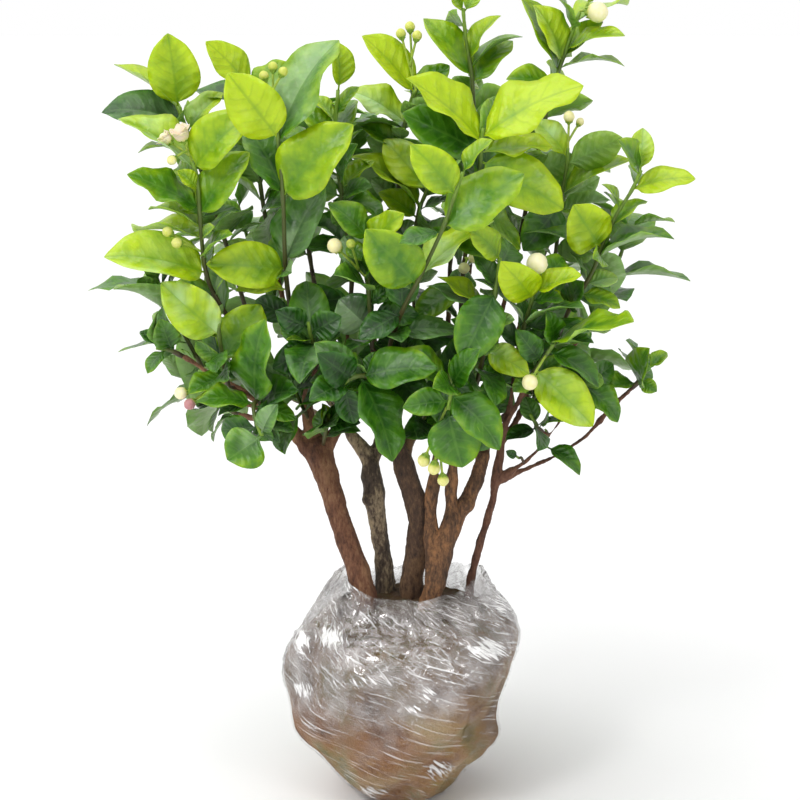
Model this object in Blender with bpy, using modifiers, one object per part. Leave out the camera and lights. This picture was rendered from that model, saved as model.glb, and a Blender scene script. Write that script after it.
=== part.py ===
"""An old jasmine bush on its root ball, which is wrapped in clear stretch film.

Metres, +Z up. The origin is the middle of the flat spot that the wrapped ball
rests on, and the side with the best view of the trunks faces -Y.

Much of the bush is laid out as it is seen from the front. A place there is
(across, down) in steps of STEP from the view's top left corner, and a third
number is how far back it lies, in millimetres.
"""

import math
import random
from typing import NamedTuple

import bmesh
import bpy
from mathutils import Matrix, Vector
from mathutils.bvhtree import BVHTree

MM = 0.001
UP = Vector((0, 0, 1))

# The front view
EYE_DISTANCE = 1150 * MM
EYE_RISE = math.radians(12)
AIM = Vector((-1.2 * MM, 0, 257.5 * MM))
STEP = 0.62 * MM
VIEW_MIDDLE = 400

# The root ball and its film
FILM_THICK = 1.0 * MM
GAP = 0.35 * MM
SOIL_INSET = 0.6 * MM
BALL_SIDES = 15
# Each row of the wrap in millimetres: height, then reach to the left, right, front and back
WRAP_ROWS = (
    (0, 23, 25, 22, 22),
    (4, 32, 33, 32, 32),
    (15, 43, 42, 44, 44),
    (28, 56, 55, 55, 55),
    (43, 67, 59, 62, 61),
    (61, 71.5, 62, 66, 65),
    (80, 71, 70.5, 67, 66),
    (98, 70, 72.5, 65, 64),
    (111, 61, 69, 57, 57),
    (121, 52, 61, 47, 48),
    (129, 46, 54, 40, 41),
)
NECK_EDGE = (137, 42, 50, 36, 36)
SOIL_ROWS = ((127, 34, 43, 27, 29), (129.5, 22, 30, 17, 18), (131, 10, 14, 8, 8))
SOIL_TOP = 131.5 * MM
LUMP = 0.035
LUMP_TOP = 125 * MM
NECK_DIP = 6 * MM

# Wood, leaves and buds
TWIG_RADIUS = 1.9 * MM
STEM_RADIUS = 1.5 * MM
STEM_TIP = 1.05 * MM
STALK_RADIUS = 0.75 * MM
COLLAR = 3 * MM
LEAF_HALF_THICK = 0.55 * MM
PETIOLE_HALF_WIDTH = 0.8 * MM
BLADE_STATIONS = ((0.31, 0.93), (0.65, 0.84))
BLADE_RATIO = 0.58
BLADE_BOW = 0.07
BLADE_FOLD = 0.22
BLADE_WAVE = 0.10

# How leaves keep clear of each other: the margin, the root's length that is sunk in the stem,
# the ways a seen leaf may reach back in millimetres, and a grown one's pitch and turn in degrees
CLEAR = 0.7 * MM
ROOT_DEPTH = 3.2 * MM
REACHES = (0, -7, 7, -14, 14, -21, 21, -28, 28, -35, 35)
TILTS = (
    (0, 0),
    (14, 0),
    (-14, 0),
    (0, 16),
    (0, -16),
    (26, 0),
    (-26, 0),
    (14, 18),
    (-14, -18),
    (14, -18),
    (-14, 18),
    (0, 32),
    (0, -32),
    (38, 0),
)

# How pairs of leaves grow by rule: where they sit on the stem, and how much they vary
FIRST_PAIR = 0.13
LAST_PAIR = 0.985
LEAN_SPREAD = 12
DROOP = (-0.25, 0.10)
SIZE_SPREAD = (0.88, 1.10)
SIZE_ARC = (0.25, 0.80)
SPIN_SPREAD = 0.3
FACE_UP = 0.8
FACE_ALONG = 0.5
FACE_SPREAD = 0.2

TWIG_SWELL = 1.25
HOLE_RISE = 1.4
SEARCH_STEPS = 12
WELD = 0.01 * MM

BUD_STRETCH = 1.15
BRANCH_START = 0.18
BRANCH_STEP = 0.22
BUD_SIDES = 5
BUD_SECTIONS = ((-0.35, 0.95), (0.5, 0.86))


class Limb(NamedTuple):
    """One limb of a trunk: (across, down, back, radius in millimetres) along it, and its sides."""

    path: tuple
    fineness: int = 1


class Leaf(NamedTuple):
    """A leaf as seen from the front: base, tip and width in steps, and its reach back in millimetres."""

    base: tuple
    tip: tuple
    width: float
    reach: float


class Shoot(NamedTuple):
    """A leafy green shoot on its woody twig. Both are paths of places in the front view.

    pairs, length and lean are for the leaves that grow by rule: how many
    pairs, how long in millimetres, and how far from the stem in degrees.
    """

    name: str
    trunk: str
    twig: tuple
    stem: tuple
    leaves: tuple = ()
    pairs: int = 0
    length: float = 44
    lean: float = 62


class Cluster(NamedTuple):
    """A bunch of buds: the shoot it grows on, its seat, and each bud's place and diameter in steps."""

    name: str
    shoot: str
    seat: tuple
    buds: tuple


TRUNKS = {
    "trunk_left": (
        Limb(
            (
                (365, 612, -15, 8.2),
                (364, 595, -15, 8.1),
                (358, 570, -15, 7.5),
                (350, 547, -14, 7.2),
                (340, 520, -13, 6.9),
                (334, 500, -12, 7.1),
                (328, 480, -10, 7.5),
                (320, 455, -8, 8.4),
                (313, 440, -7, 6.6),
            ),
            2,
        ),
        Limb(((319, 458, -8, 6.4), (305, 444, -8, 5.2), (288, 426, -6, 4.1), (272, 412, -4, 3.4))),
        Limb(((314, 446, -7, 5.6), (309, 420, -6, 4.0), (305, 386, -5, 3.1), (299, 352, -6, 2.4))),
        Limb(((320, 454, -8, 6.0), (332, 437, -6, 4.2), (345, 419, -2, 3.2), (352, 404, -4, 2.4))),
    ),
    "trunk_rough": (
        Limb(
            (
                (387, 612, 12, 7.2),
                (386, 590, 12, 7.0),
                (384, 568, 12, 6.2),
                (381, 545, 12, 5.3),
                (377, 518, 11, 5.8),
                (374, 498, 11, 7.2),
                (373, 480, 11, 6.6),
                (370, 462, 11, 5.8),
                (362, 448, 12, 5.2),
                (350, 434, 14, 4.0),
            ),
            2,
        ),
        Limb(((352, 437, 14, 3.8), (342, 415, 18, 3.2), (334, 385, 24, 2.6))),
        Limb(((371, 464, 11, 5.2), (380, 440, 18, 4.0), (384, 410, 26, 3.2), (384, 375, 32, 2.5))),
    ),
    "trunk_middle": (
        Limb(
            (
                (410, 612, -2, 6.2),
                (410, 595, -2, 6.2),
                (410, 576, -3, 6.1),
                (414, 548, -4, 5.4),
                (417, 522, -4, 4.6),
                (414, 500, -4, 4.8),
                (409, 480, -4, 6.0),
                (404, 464, -4, 6.2),
                (399, 446, -4, 4.8),
            ),
            2,
        ),
        Limb(((401, 452, -4, 4.6), (392, 425, -9, 3.6), (387, 398, -14, 2.9), (385, 376, -18, 2.3))),
        Limb(((403, 456, -3, 4.6), (413, 432, 4, 3.6), (420, 405, 12, 2.9), (422, 370, 18, 2.4))),
    ),
    "trunk_right": (
        Limb(
            (
                (425, 618, -19, 7.2),
                (428, 600, -18, 7.2),
                (434, 578, -16, 7.0),
                (441, 554, -14, 6.8),
                (448, 532, -12, 5.0),
                (451, 512, -10, 3.4),
                (452, 478, -8, 2.9),
                (455, 440, -8, 2.7),
            ),
            2,
        ),
        Limb(
            (
                (446, 545, -12, 5.4),
                (457, 520, -8, 4.6),
                (468, 500, -5, 4.9),
                (477, 478, -3, 4.2),
                (485, 452, 0, 4.4),
            )
        ),
        Limb(
            (
                (436, 560, -14, 4.4),
                (434, 534, -12, 2.6),
                (434, 505, -10, 2.4),
                (434, 478, -9, 2.3),
                (436, 446, -10, 2.0),
            )
        ),
        Limb(((484, 456, 0, 4.2), (488, 430, 8, 3.4), (488, 400, 16, 2.8), (484, 370, 20, 2.3))),
        Limb(((482, 460, 0, 3.8), (470, 440, 14, 3.2), (458, 412, 26, 2.7), (450, 385, 34, 2.3))),
    ),
    "trunk_thin": (
        Limb(
            (
                (466, 618, 0, 3.5),
                (468, 598, 0, 3.4),
                (472, 573, 0, 3.1),
                (481, 540, 0, 2.8),
                (488, 518, -1, 2.8),
                (493, 498, -2, 3.1),
                (496, 478, -3, 3.2),
                (499, 458, -3, 3.3),
                (503, 436, -3, 2.9),
                (510, 405, -4, 2.4),
            ),
            1,
        ),
        Limb(
            (
                (498, 478, -3, 2.6),
                (520, 466, -7, 1.9),
                (538, 450, -10, 1.8),
                (549, 436, -12, 1.6),
                (565, 414, -14, 1.4),
            )
        ),
        Limb(
            (
                (499, 480, -3, 2.8),
                (525, 469, -2, 2.2),
                (550, 459, 0, 2.1),
                (568, 449, 2, 2.1),
                (587, 435, 3, 2.3),
                (601, 419, 3, 1.9),
                (617, 402, 2, 1.7),
                (630, 392, 1, 1.6),
            )
        ),
        Limb(((502, 442, -3, 2.6), (518, 418, 5, 2.4), (534, 385, 14, 2.2))),
    ),
}

SHOOTS = (
    Shoot(
        "shoot_far_left",
        "trunk_left",
        ((274, 414, -4), (256, 375, -16), (232, 325, -30)),
        ((212, 290, -37), (204, 262, -42), (200, 215, -46), (197, 178, -46), (192, 162, -44)),
        (
            Leaf((197, 168), (250, 112), 38, -12),
            Leaf((203, 215), (250, 152), 30, -10),
            Leaf((199, 208), (126, 177), 28, -10),
            Leaf((194, 168), (118, 118), 30, 12),
            Leaf((206, 273), (106, 255), 45, -18),
            Leaf((203, 240), (135, 232), 16, 12),
            Leaf((202, 228), (148, 205), 14, 14),
        ),
    ),
    Shoot(
        "shoot_left_tall",
        "trunk_left",
        ((276, 416, -3), (262, 370, 4), (246, 310, 10)),
        ((228, 250, 12), (208, 190, 10), (192, 145, 6), (178, 106, 2)),
        (
            Leaf((176, 102), (170, 33), 50, -10),
            Leaf((178, 108), (111, 67), 14, 6),
            Leaf((184, 124), (103, 105), 35, -6),
            Leaf((188, 132), (222, 92), 22, 8),
        ),
        2,
    ),
    Shoot(
        "shoot_left_high",
        "trunk_left",
        ((303, 372, -5), (288, 320, 8), (274, 262, 16)),
        ((264, 210, 18), (256, 150, 16), (250, 88, 10)),
        (
            Leaf((250, 88), (207, 40), 32, -6),
            Leaf((252, 116), (195, 90), 22, 10),
            Leaf((251, 96), (290, 62), 22, 6),
        ),
        2,
    ),
    Shoot(
        "shoot_left_middle",
        "trunk_left",
        ((301, 362, -6), (296, 340, -7)),
        ((286, 275, -26), (283, 196, -44), (278, 138, -50), (275, 108, -50)),
        (
            Leaf((278, 138), (228, 72), 50, -12),
            Leaf((280, 145), (333, 37), 42, 12),
            Leaf((282, 196), (247, 125), 38, -14),
            Leaf((283, 196), (351, 125), 52, -16),
            Leaf((287, 270), (208, 266), 45, -20),
            Leaf((286, 264), (325, 185), 38, 10),
            Leaf((288, 288), (237, 290), 14, -12),
            Leaf((291, 305), (342, 296), 34, 8),
            Leaf((293, 318), (255, 300), 26, 10),
        ),
    ),
    Shoot(
        "shoot_inner_left",
        "trunk_left",
        ((350, 408, -3), (345, 370, 0), (348, 330, 4)),
        ((352, 270, 6), (346, 225, 4), (341, 190, 2), (335, 140, 0), (338, 90, -2)),
        (
            Leaf((338, 90), (336, 40), 20, -4),
            Leaf((335, 124), (311, 94), 13, 6),
            Leaf((340, 182), (353, 144), 18, -7),
            Leaf((342, 190), (374, 160), 16, 8),
            Leaf((343, 200), (385, 214), 20, -8),
        ),
        2,
    ),
    Shoot(
        "shoot_small_front",
        "trunk_middle",
        ((390, 410, -12), (379, 380, -16), (373, 350, -24)),
        ((370, 312, -34), (368, 275, -42), (369, 240, -44)),
        (
            Leaf((369, 238), (330, 203), 26, -8),
            Leaf((370, 248), (402, 212), 26, -10),
            Leaf((382, 328), (338, 300), 44, -12),
            Leaf((380, 316), (420, 318), 26, -10),
        ),
    ),
    Shoot(
        "shoot_front_middle",
        "trunk_middle",
        ((386, 386, -16), (387, 366, -25)),
        (
            (392, 338, -40),
            (405, 305, -54),
            (420, 277, -64),
            (443, 228, -76),
            (455, 195, -80),
            (463, 172, -80),
        ),
        (
            Leaf((443, 230), (525, 175), 45, -14),
            Leaf((417, 283), (366, 228), 50, -14),
            Leaf((441, 232), (400, 245), 18, -10),
            Leaf((455, 195), (415, 143), 35, -8),
            Leaf((421, 277), (496, 222), 22, 14),
            Leaf((463, 174), (492, 140), 16, -4),
            Leaf((402, 312), (360, 340), 26, -12),
        ),
    ),
    Shoot(
        "shoot_middle",
        "trunk_middle",
        ((422, 378, 17), (416, 320, 20)),
        ((412, 262, 20), (418, 215, 18), (428, 188, 16), (438, 160, 14)),
        (
            Leaf((419, 208), (352, 153), 22, -6),
            Leaf((428, 190), (385, 138), 38, 6),
            Leaf((417, 220), (380, 190), 24, -10),
            Leaf((414, 262), (447, 252), 22, -4),
            Leaf((437, 162), (447, 118), 22, 8),
        ),
        2,
    ),
    Shoot(
        "shoot_tall_middle",
        "trunk_right",
        ((455, 446, -8), (458, 400, -4), (460, 340, 2)),
        ((463, 270, -2), (472, 225, -14), (479, 183, -26), (481, 150, -34), (483, 128, -36)),
        (
            Leaf((480, 154), (400, 118), 45, -14),
            Leaf((481, 143), (405, 80), 36, -4),
            Leaf((482, 138), (583, 85), 42, -10),
            Leaf((481, 153), (553, 150), 24, 14),
            Leaf((480, 162), (562, 212), 50, -16),
            Leaf((463, 284), (414, 318), 30, -8),
            Leaf((476, 205), (520, 248), 22, 12),
        ),
        1,
    ),
    Shoot(
        "shoot_top_left",
        "trunk_rough",
        ((384, 380, 31), (392, 320, 34), (396, 260, 34)),
        ((398, 200, 32), (401, 145, 30), (409, 108, 28), (415, 90, 26)),
        (
            Leaf((415, 94), (360, 38), 30, -12),
            Leaf((403, 124), (350, 90), 26, 6),
            Leaf((400, 148), (361, 125), 20, -6),
            Leaf((413, 98), (450, 66), 24, 8),
        ),
        2,
    ),
    Shoot(
        "shoot_top_middle",
        "trunk_right",
        ((452, 392, 33), (462, 330, 36), (470, 265, 36)),
        ((476, 200, 36), (475, 140, 34), (472, 78, 30), (466, 40, 28), (463, 8, 27)),
        (
            Leaf((472, 79), (425, 18), 33, -10),
            Leaf((472, 82), (512, 40), 24, 8),
            Leaf((463, 14), (448, -15), 14, -4),
            Leaf((463, 13), (485, -12), 16, 5),
            Leaf((470, 62), (498, 14), 14, 12),
        ),
        2,
    ),
    Shoot(
        "shoot_top_right",
        "trunk_right",
        ((485, 378, 20), (500, 320, 26), (516, 255, 28)),
        ((530, 190, 28), (545, 120, 24), (554, 85, 20), (566, 50, 16), (580, 12, 14)),
        (
            Leaf((558, 74), (520, -2), 16, -6),
            Leaf((554, 84), (506, 78), 22, -8),
            Leaf((564, 58), (604, 22), 20, -8),
            Leaf((567, 50), (622, 33), 14, 8),
            Leaf((577, 20), (628, 2), 14, 6),
            Leaf((562, 62), (535, 6), 24, 14),
            Leaf((541, 142), (500, 118), 24, -6),
        ),
        2,
    ),
    Shoot(
        "shoot_right_inner",
        "trunk_thin",
        ((533, 388, 13), (542, 345, 18)),
        ((549, 300, 18), (556, 250, 16), (561, 200, 14), (567, 165, 12), (568, 148, 12)),
        (
            Leaf((562, 195), (632, 163), 18, -8),
            Leaf((568, 150), (643, 115), 38, -4),
            Leaf((566, 158), (535, 118), 26, 8),
            Leaf((560, 206), (525, 250), 40, -14),
        ),
        1,
    ),
    Shoot(
        "shoot_right",
        "trunk_thin",
        ((534, 386, 14), (548, 356, 6)),
        (
            (562, 328, -4),
            (568, 312, -7),
            (585, 285, -12),
            (594, 268, -15),
            (602, 246, -18),
            (617, 214, -21),
            (632, 190, -22),
            (641, 170, -22),
        ),
        (
            Leaf((602, 248), (572, 206), 48, -12),
            Leaf((611, 226), (647, 200), 12, 8),
            Leaf((633, 190), (695, 178), 20, -8),
            Leaf((641, 171), (645, 128), 24, 4),
            Leaf((639, 176), (620, 138), 16, -6),
            Leaf((569, 310), (583, 283), 20, -8),
            Leaf((585, 286), (619, 277), 18, 6),
            Leaf((580, 294), (620, 308), 14, -8),
        ),
        1,
    ),
    Shoot(
        "shoot_right_front",
        "trunk_thin",
        ((510, 408, -4), (514, 372, -20)),
        ((518, 349, -32), (526, 320, -44), (532, 300, -50), (536, 280, -54)),
        (
            Leaf((532, 298), (505, 260), 38, -10),
            Leaf((534, 292), (582, 278), 18, -8),
            Leaf((535, 284), (592, 238), 38, 8),
            Leaf((524, 328), (590, 330), 16, 6),
        ),
        1,
    ),
    Shoot(
        "shoot_low_middle",
        "trunk_right",
        ((455, 442, -8), (466, 415, -20), (474, 392, -30)),
        ((482, 362, -42), (490, 325, -52), (496, 287, -60), (500, 258, -62)),
        (
            Leaf((494, 294), (460, 362), 45, -16),
            Leaf((491, 322), (437, 277), 15, -14),
            Leaf((499, 260), (471, 226), 24, -6),
            Leaf((499, 262), (450, 245), 20, 8),
            Leaf((484, 350), (530, 372), 28, -10),
        ),
        1,
    ),
    Shoot(
        "shoot_left_low",
        "trunk_left",
        ((274, 414, -4), (252, 398, -16), (232, 388, -28)),
        ((224, 366, -38), (219, 332, -48), (221, 318, -51)),
        (
            Leaf((219, 334), (160, 285), 45, -8),
            Leaf((220, 328), (193, 283), 25, 8),
            Leaf((222, 360), (258, 303), 45, -20),
            Leaf((227, 376), (190, 396), 18, -10),
        ),
    ),
    Shoot(
        "shoot_twig_left",
        "trunk_left",
        ((282, 420, -6), (246, 392, -2), (216, 378, 0), (190, 360, 0), (180, 355, 0)),
        ((170, 350, 0), (156, 348, 0)),
        (
            Leaf((172, 351), (160, 320), 28, -8),
            Leaf((166, 350), (146, 372), 14, -8),
        ),
    ),
    Shoot(
        "shoot_front_left",
        "trunk_left",
        ((275, 412, -5), (268, 404, -22), (262, 400, -36)),
        ((254, 404, -50), (255, 418, -58), (262, 436, -62)),
        (
            Leaf((264, 436), (228, 461), 44, -8),
            Leaf((258, 428), (220, 432), 28, 8),
            Leaf((261, 434), (276, 404), 20, -8),
            Leaf((256, 402), (263, 320), 38, -14),
            Leaf((252, 404), (197, 396), 22, -8),
            Leaf((252, 408), (175, 408), 20, 8),
        ),
    ),
    Shoot(
        "shoot_hanging",
        "trunk_right",
        ((436, 450, -10), (440, 415, -26), (444, 392, -42)),
        ((448, 376, -58), (452, 384, -68), (448, 410, -74)),
        (
            Leaf((448, 410), (460, 468), 50, -4),
            Leaf((450, 402), (402, 406), 26, -8),
            Leaf((451, 394), (503, 446), 34, -8),
            Leaf((450, 386), (478, 352), 26, -8),
            Leaf((448, 384), (395, 352), 26, -10),
        ),
    ),
    Shoot(
        "shoot_front_low",
        "trunk_middle",
        ((392, 420, -11), (388, 404, -30), (378, 388, -44)),
        ((366, 376, -56), (352, 378, -62), (340, 386, -64)),
        (
            Leaf((362, 376), (438, 366), 38, -12),
            Leaf((360, 378), (392, 462), 38, -12),
            Leaf((346, 382), (312, 402), 26, -8),
            Leaf((352, 378), (318, 356), 34, -8),
            Leaf((344, 384), (352, 424), 26, -6),
        ),
    ),
    Shoot(
        "shoot_front_dark",
        "trunk_left",
        ((306, 396, -6), (313, 378, -18), (316, 366, -28)),
        ((316, 352, -36), (311, 336, -42), (308, 322, -44)),
        (
            Leaf((312, 350), (272, 366), 32, -10),
            Leaf((308, 334), (340, 316), 30, -8),
            Leaf((307, 328), (276, 312), 26, -8),
        ),
        1,
    ),
    Shoot(
        "shoot_low_right",
        "trunk_thin",
        ((506, 424, -4), (520, 398, -22), (527, 386, -34)),
        ((534, 371, -46), (546, 355, -50), (556, 341, -48)),
        (
            Leaf((535, 370), (592, 427), 44, -14),
            Leaf((556, 342), (633, 326), 22, -8),
            Leaf((548, 352), (600, 385), 18, -6),
            Leaf((540, 362), (516, 332), 24, -8),
            Leaf((552, 346), (550, 312), 18, 8),
        ),
    ),
    Shoot(
        "shoot_twig_right",
        "trunk_thin",
        ((617, 402, 2), (634, 386, 0)),
        ((642, 376, -2), (650, 366, -4)),
        (
            Leaf((638, 382), (648, 350), 26, -8),
            Leaf((636, 384), (600, 384), 18, -8),
            Leaf((648, 368), (668, 352), 14, 6),
        ),
    ),
    Shoot(
        "shoot_twig_low",
        "trunk_thin",
        ((549, 436, -12), (540, 430, -16)),
        ((536, 424, -18), (530, 414, -20)),
        (
            Leaf((538, 426), (526, 396), 20, -6),
            Leaf((538, 428), (506, 440), 16, -8),
            Leaf((540, 428), (584, 474), 16, -6),
        ),
    ),
    Shoot(
        "shoot_twig_tip",
        "trunk_thin",
        ((565, 414, -14), (572, 402, -14)),
        ((580, 390, -14), (586, 380, -14)),
        (
            Leaf((584, 386), (620, 420), 24, -8),
            Leaf((578, 394), (552, 412), 18, -4),
        ),
    ),
    # The shoots at the sides and the back, which the front view doesn't show
    Shoot("shoot_side_left", "trunk_left", ((278, 418, -4), (240, 400, 14), (215, 385, 24)),
          ((190, 345, 30), (165, 300, 36), (150, 255, 40)), (), 4, 50),
    Shoot("shoot_side_left_low", "trunk_left", ((284, 423, -6), (258, 420, 14), (238, 414, 34)),
          ((212, 400, 50), (186, 382, 66)), (), 3, 50),
    Shoot("shoot_back_left", "trunk_rough", ((344, 418, 17), (318, 390, 40), (296, 350, 56)),
          ((272, 300, 74), (250, 245, 90), (238, 205, 98)), (), 5, 54),
    Shoot("shoot_back_left_low", "trunk_rough", ((348, 430, 15), (312, 410, 44), (290, 396, 60)),
          ((262, 380, 82), (232, 366, 104)), (), 4, 52),
    Shoot("shoot_back_left_high", "trunk_rough", ((335, 390, 23), (322, 330, 40), (312, 270, 50)),
          ((302, 205, 58), (296, 140, 64), (300, 95, 66)), (), 5, 52),
    Shoot("shoot_back_middle", "trunk_rough", ((384, 392, 29), (374, 340, 50), (368, 290, 62)),
          ((362, 230, 74), (358, 165, 84), (356, 120, 88)), (), 5, 54),
    Shoot("shoot_back_middle_low", "trunk_rough", ((382, 420, 23), (370, 392, 54), (362, 376, 74)),
          ((352, 352, 98), (340, 330, 122)), (), 4, 56),
    Shoot("shoot_back_right_high", "trunk_right", ((453, 398, 31), (448, 330, 56), (450, 270, 66)),
          ((456, 205, 74), (464, 145, 80), (466, 105, 82)), (), 5, 54),
    Shoot("shoot_back_right", "trunk_right", ((487, 410, 14), (508, 360, 44), (524, 310, 58)),
          ((544, 255, 74), (562, 205, 86), (572, 170, 92)), (), 5, 54),
    Shoot("shoot_back_right_low", "trunk_right", ((488, 432, 8), (512, 408, 42), (530, 392, 60)),
          ((556, 372, 82), (580, 356, 102)), (), 4, 54),
    Shoot("shoot_side_right", "trunk_thin", ((530, 394, 11), (560, 366, 28), (578, 340, 38)),
          ((600, 300, 46), (618, 262, 52), (630, 225, 56)), (), 4, 52),
)

CLUSTERS = (
    Cluster(
        "flower_left",
        "shoot_far_left",
        (192, 161, -44),
        ((181, 134, -50, 15), (166, 139, -48, 12), (172, 160, -54, 9)),
    ),
    Cluster("buds_far_left", "shoot_far_left", (202, 250, -43), ((168, 232, -50, 10), (177, 243, -54, 10))),
    Cluster(
        "buds_left_middle",
        "shoot_left_middle",
        (275, 108, -50),
        ((264, 76, -52, 9), (273, 67, -48, 9), (283, 72, -52, 9)),
    ),
    Cluster(
        "buds_top_left",
        "shoot_top_left",
        (415, 88, 26),
        ((401, 34, 24, 10), (410, 27, 26, 10), (417, 36, 22, 10)),
    ),
    Cluster("buds_top_right", "shoot_top_right", (580, 10, 14), ((597, 12, 8, 20), (592, -4, 14, 9))),
    Cluster("buds_right_inner", "shoot_right_inner", (568, 146, 12), ((569, 117, 8, 11), (580, 122, 14, 8))),
    Cluster("bud_right_front", "shoot_right_front", (536, 280, -54), ((537, 264, -60, 20),)),
    Cluster("buds_middle", "shoot_tall_middle", (466, 256, -5), ((475, 257, -30, 13), (464, 268, -32, 11))),
    Cluster(
        "bud_small_front",
        "shoot_small_front",
        (368, 275, -42),
        ((335, 246, -54, 14), (351, 244, -54, 9)),
    ),
    Cluster("bud_low_right", "shoot_low_right", (545, 356, -50), ((530, 382, -66, 15),)),
    Cluster("buds_twig_left", "shoot_left_low", (229, 380, -32), ((181, 393, -46, 12), (190, 404, -48, 11))),
    Cluster(
        "buds_hanging",
        "shoot_hanging",
        (448, 408, -74),
        ((424, 460, -70, 12), (434, 468, -72, 12), (443, 480, -70, 11)),
    ),
)


def seen(across, down, back):
    """The point that shows at this place of the front view, this many millimetres back."""
    ahead = Vector((0, math.cos(EYE_RISE), -math.sin(EYE_RISE)))
    above = Vector((0, math.sin(EYE_RISE), math.cos(EYE_RISE)))
    eye = AIM - ahead * EYE_DISTANCE
    ray = ahead * EYE_DISTANCE + above * ((VIEW_MIDDLE - down) * STEP)
    ray.x += (across - VIEW_MIDDLE) * STEP
    return eye + ray * ((back * MM - eye.y) / ray.y)


def toward_eye(point):
    ahead = Vector((0, math.cos(EYE_RISE), -math.sin(EYE_RISE)))
    return (AIM - ahead * EYE_DISTANCE - point).normalized()


def clear_scene():
    for obj in list(bpy.data.objects):
        bpy.data.objects.remove(obj, do_unlink=True)


def make_collection(name, hidden=False):
    made = bpy.data.collections.new(name)
    made.hide_render = hidden
    bpy.context.scene.collection.children.link(made)
    return made


def make_material(name, colour, roughness):
    material = bpy.data.materials.new(name)
    material.use_nodes = True
    shader = material.node_tree.nodes["Principled BSDF"]
    shader.inputs["Base Color"].default_value = (*colour, 1)
    shader.inputs["Roughness"].default_value = roughness
    shader.inputs["Metallic"].default_value = 0
    return material


def make_object(name, mesh, collection, material=None):
    made = bpy.data.objects.new(name, mesh)
    collection.objects.link(made)
    if material:
        mesh.materials.append(material)
    return made


def mesh_of(bm, name):
    mesh = bpy.data.meshes.new(name)
    bm.to_mesh(mesh)
    bm.free()
    return mesh


def loft(rings, first="cap", last="cap"):
    """A skin over rings of points. Each end is a cap, a point, or None where it stays open."""
    bm = bmesh.new()
    rows = [[bm.verts.new(p) for p in ring] for ring in rings]
    count = len(rows[0])
    for low, high in zip(rows, rows[1:]):
        for i in range(count):
            j = (i + 1) % count
            # The cut runs from an edge of the blade to its rib on both faces
            if i % 2:
                bm.faces.new((low[i], low[j], high[j]))
                bm.faces.new((low[i], high[j], high[i]))
            else:
                bm.faces.new((low[i], low[j], high[i]))
                bm.faces.new((low[j], high[j], high[i]))
    for row, end, flip in ((rows[0], first, True), (rows[-1], last, False)):
        if end == "cap":
            bm.faces.new(row[::-1] if flip else row)
        elif end is not None:
            point = bm.verts.new(end)
            for i in range(count):
                pair = (row[i], row[(i + 1) % count])
                bm.faces.new((*(pair[::-1] if flip else pair), point))
    return bm


def turned_reach(angle, left, right, front, back):
    """The reach at an angle round the ball, blended from the four sides."""
    sideways = math.cos(angle)
    deep = math.sin(angle)
    across = right if sideways > 0 else left
    along = back if deep > 0 else front
    return across * sideways**2 + along * deep**2


def lumps(angle, height):
    """The clods that show through, as a share of the ball's reach."""
    wave = math.sin(3 * angle + height * 60) + 0.8 * math.sin(5 * angle - height * 95 + 1.3)
    return LUMP * wave * math.sin(math.pi * min(1.0, height / LUMP_TOP))


def wrap_ring(row, inset):
    """One level ring of the wrapped ball, set in squarely from its outer skin."""
    height, *reach = WRAP_ROWS[row]
    before = WRAP_ROWS[max(row - 1, 0)]
    after = WRAP_ROWS[min(row + 1, len(WRAP_ROWS) - 1)]
    rise = after[0] - before[0]
    ring = []
    for i in range(BALL_SIDES):
        angle = 2 * math.pi * i / BALL_SIDES
        run = turned_reach(angle, *after[1:]) - turned_reach(angle, *before[1:])
        slope = math.hypot(rise, run)
        out = turned_reach(angle, *reach) * MM * (1 + lumps(angle, height * MM)) - inset * rise / slope
        level = height * MM + inset * run / slope if row else inset
        ring.append((out * math.cos(angle), out * math.sin(angle), level))
    return ring


def plain_ring(height, reach, dip=0.0):
    """A ring without lumps, which may dip to the front."""
    ring = []
    for i in range(BALL_SIDES):
        angle = 2 * math.pi * i / BALL_SIDES
        out = turned_reach(angle, *reach) * MM
        level = height * MM + dip * math.sin(angle)
        ring.append((out * math.cos(angle), out * math.sin(angle), level))
    return ring


def stretch_film(collection, material):
    """The film: one thin wall from the flat spot up to the gathered neck."""
    outside = [wrap_ring(row, 0) for row in range(len(WRAP_ROWS))]
    edge_height, *edge_reach = NECK_EDGE
    bm = loft([*outside, plain_ring(edge_height, edge_reach, NECK_DIP)], (0, 0, 0), None)
    film = make_object("stretch_film", mesh_of(bm, "stretch_film"), collection, material)
    wall = film.modifiers.new("wall", "SOLIDIFY")
    wall.thickness = FILM_THICK
    wall.offset = -1
    wall.use_even_offset = True
    return film


def root_ball(collection, material):
    """The soil, just inside the film, with a low mound at the top."""
    inset = FILM_THICK + SOIL_INSET
    body = [wrap_ring(row, inset) for row in range(len(WRAP_ROWS) - 1)]
    mound = [plain_ring(height, reach) for height, *reach in SOIL_ROWS]
    bm = loft([*body, *mound], (0, 0, inset), (0, 0, SOIL_TOP))
    return make_object("root_ball", mesh_of(bm, "root_ball"), collection, material)


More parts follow.
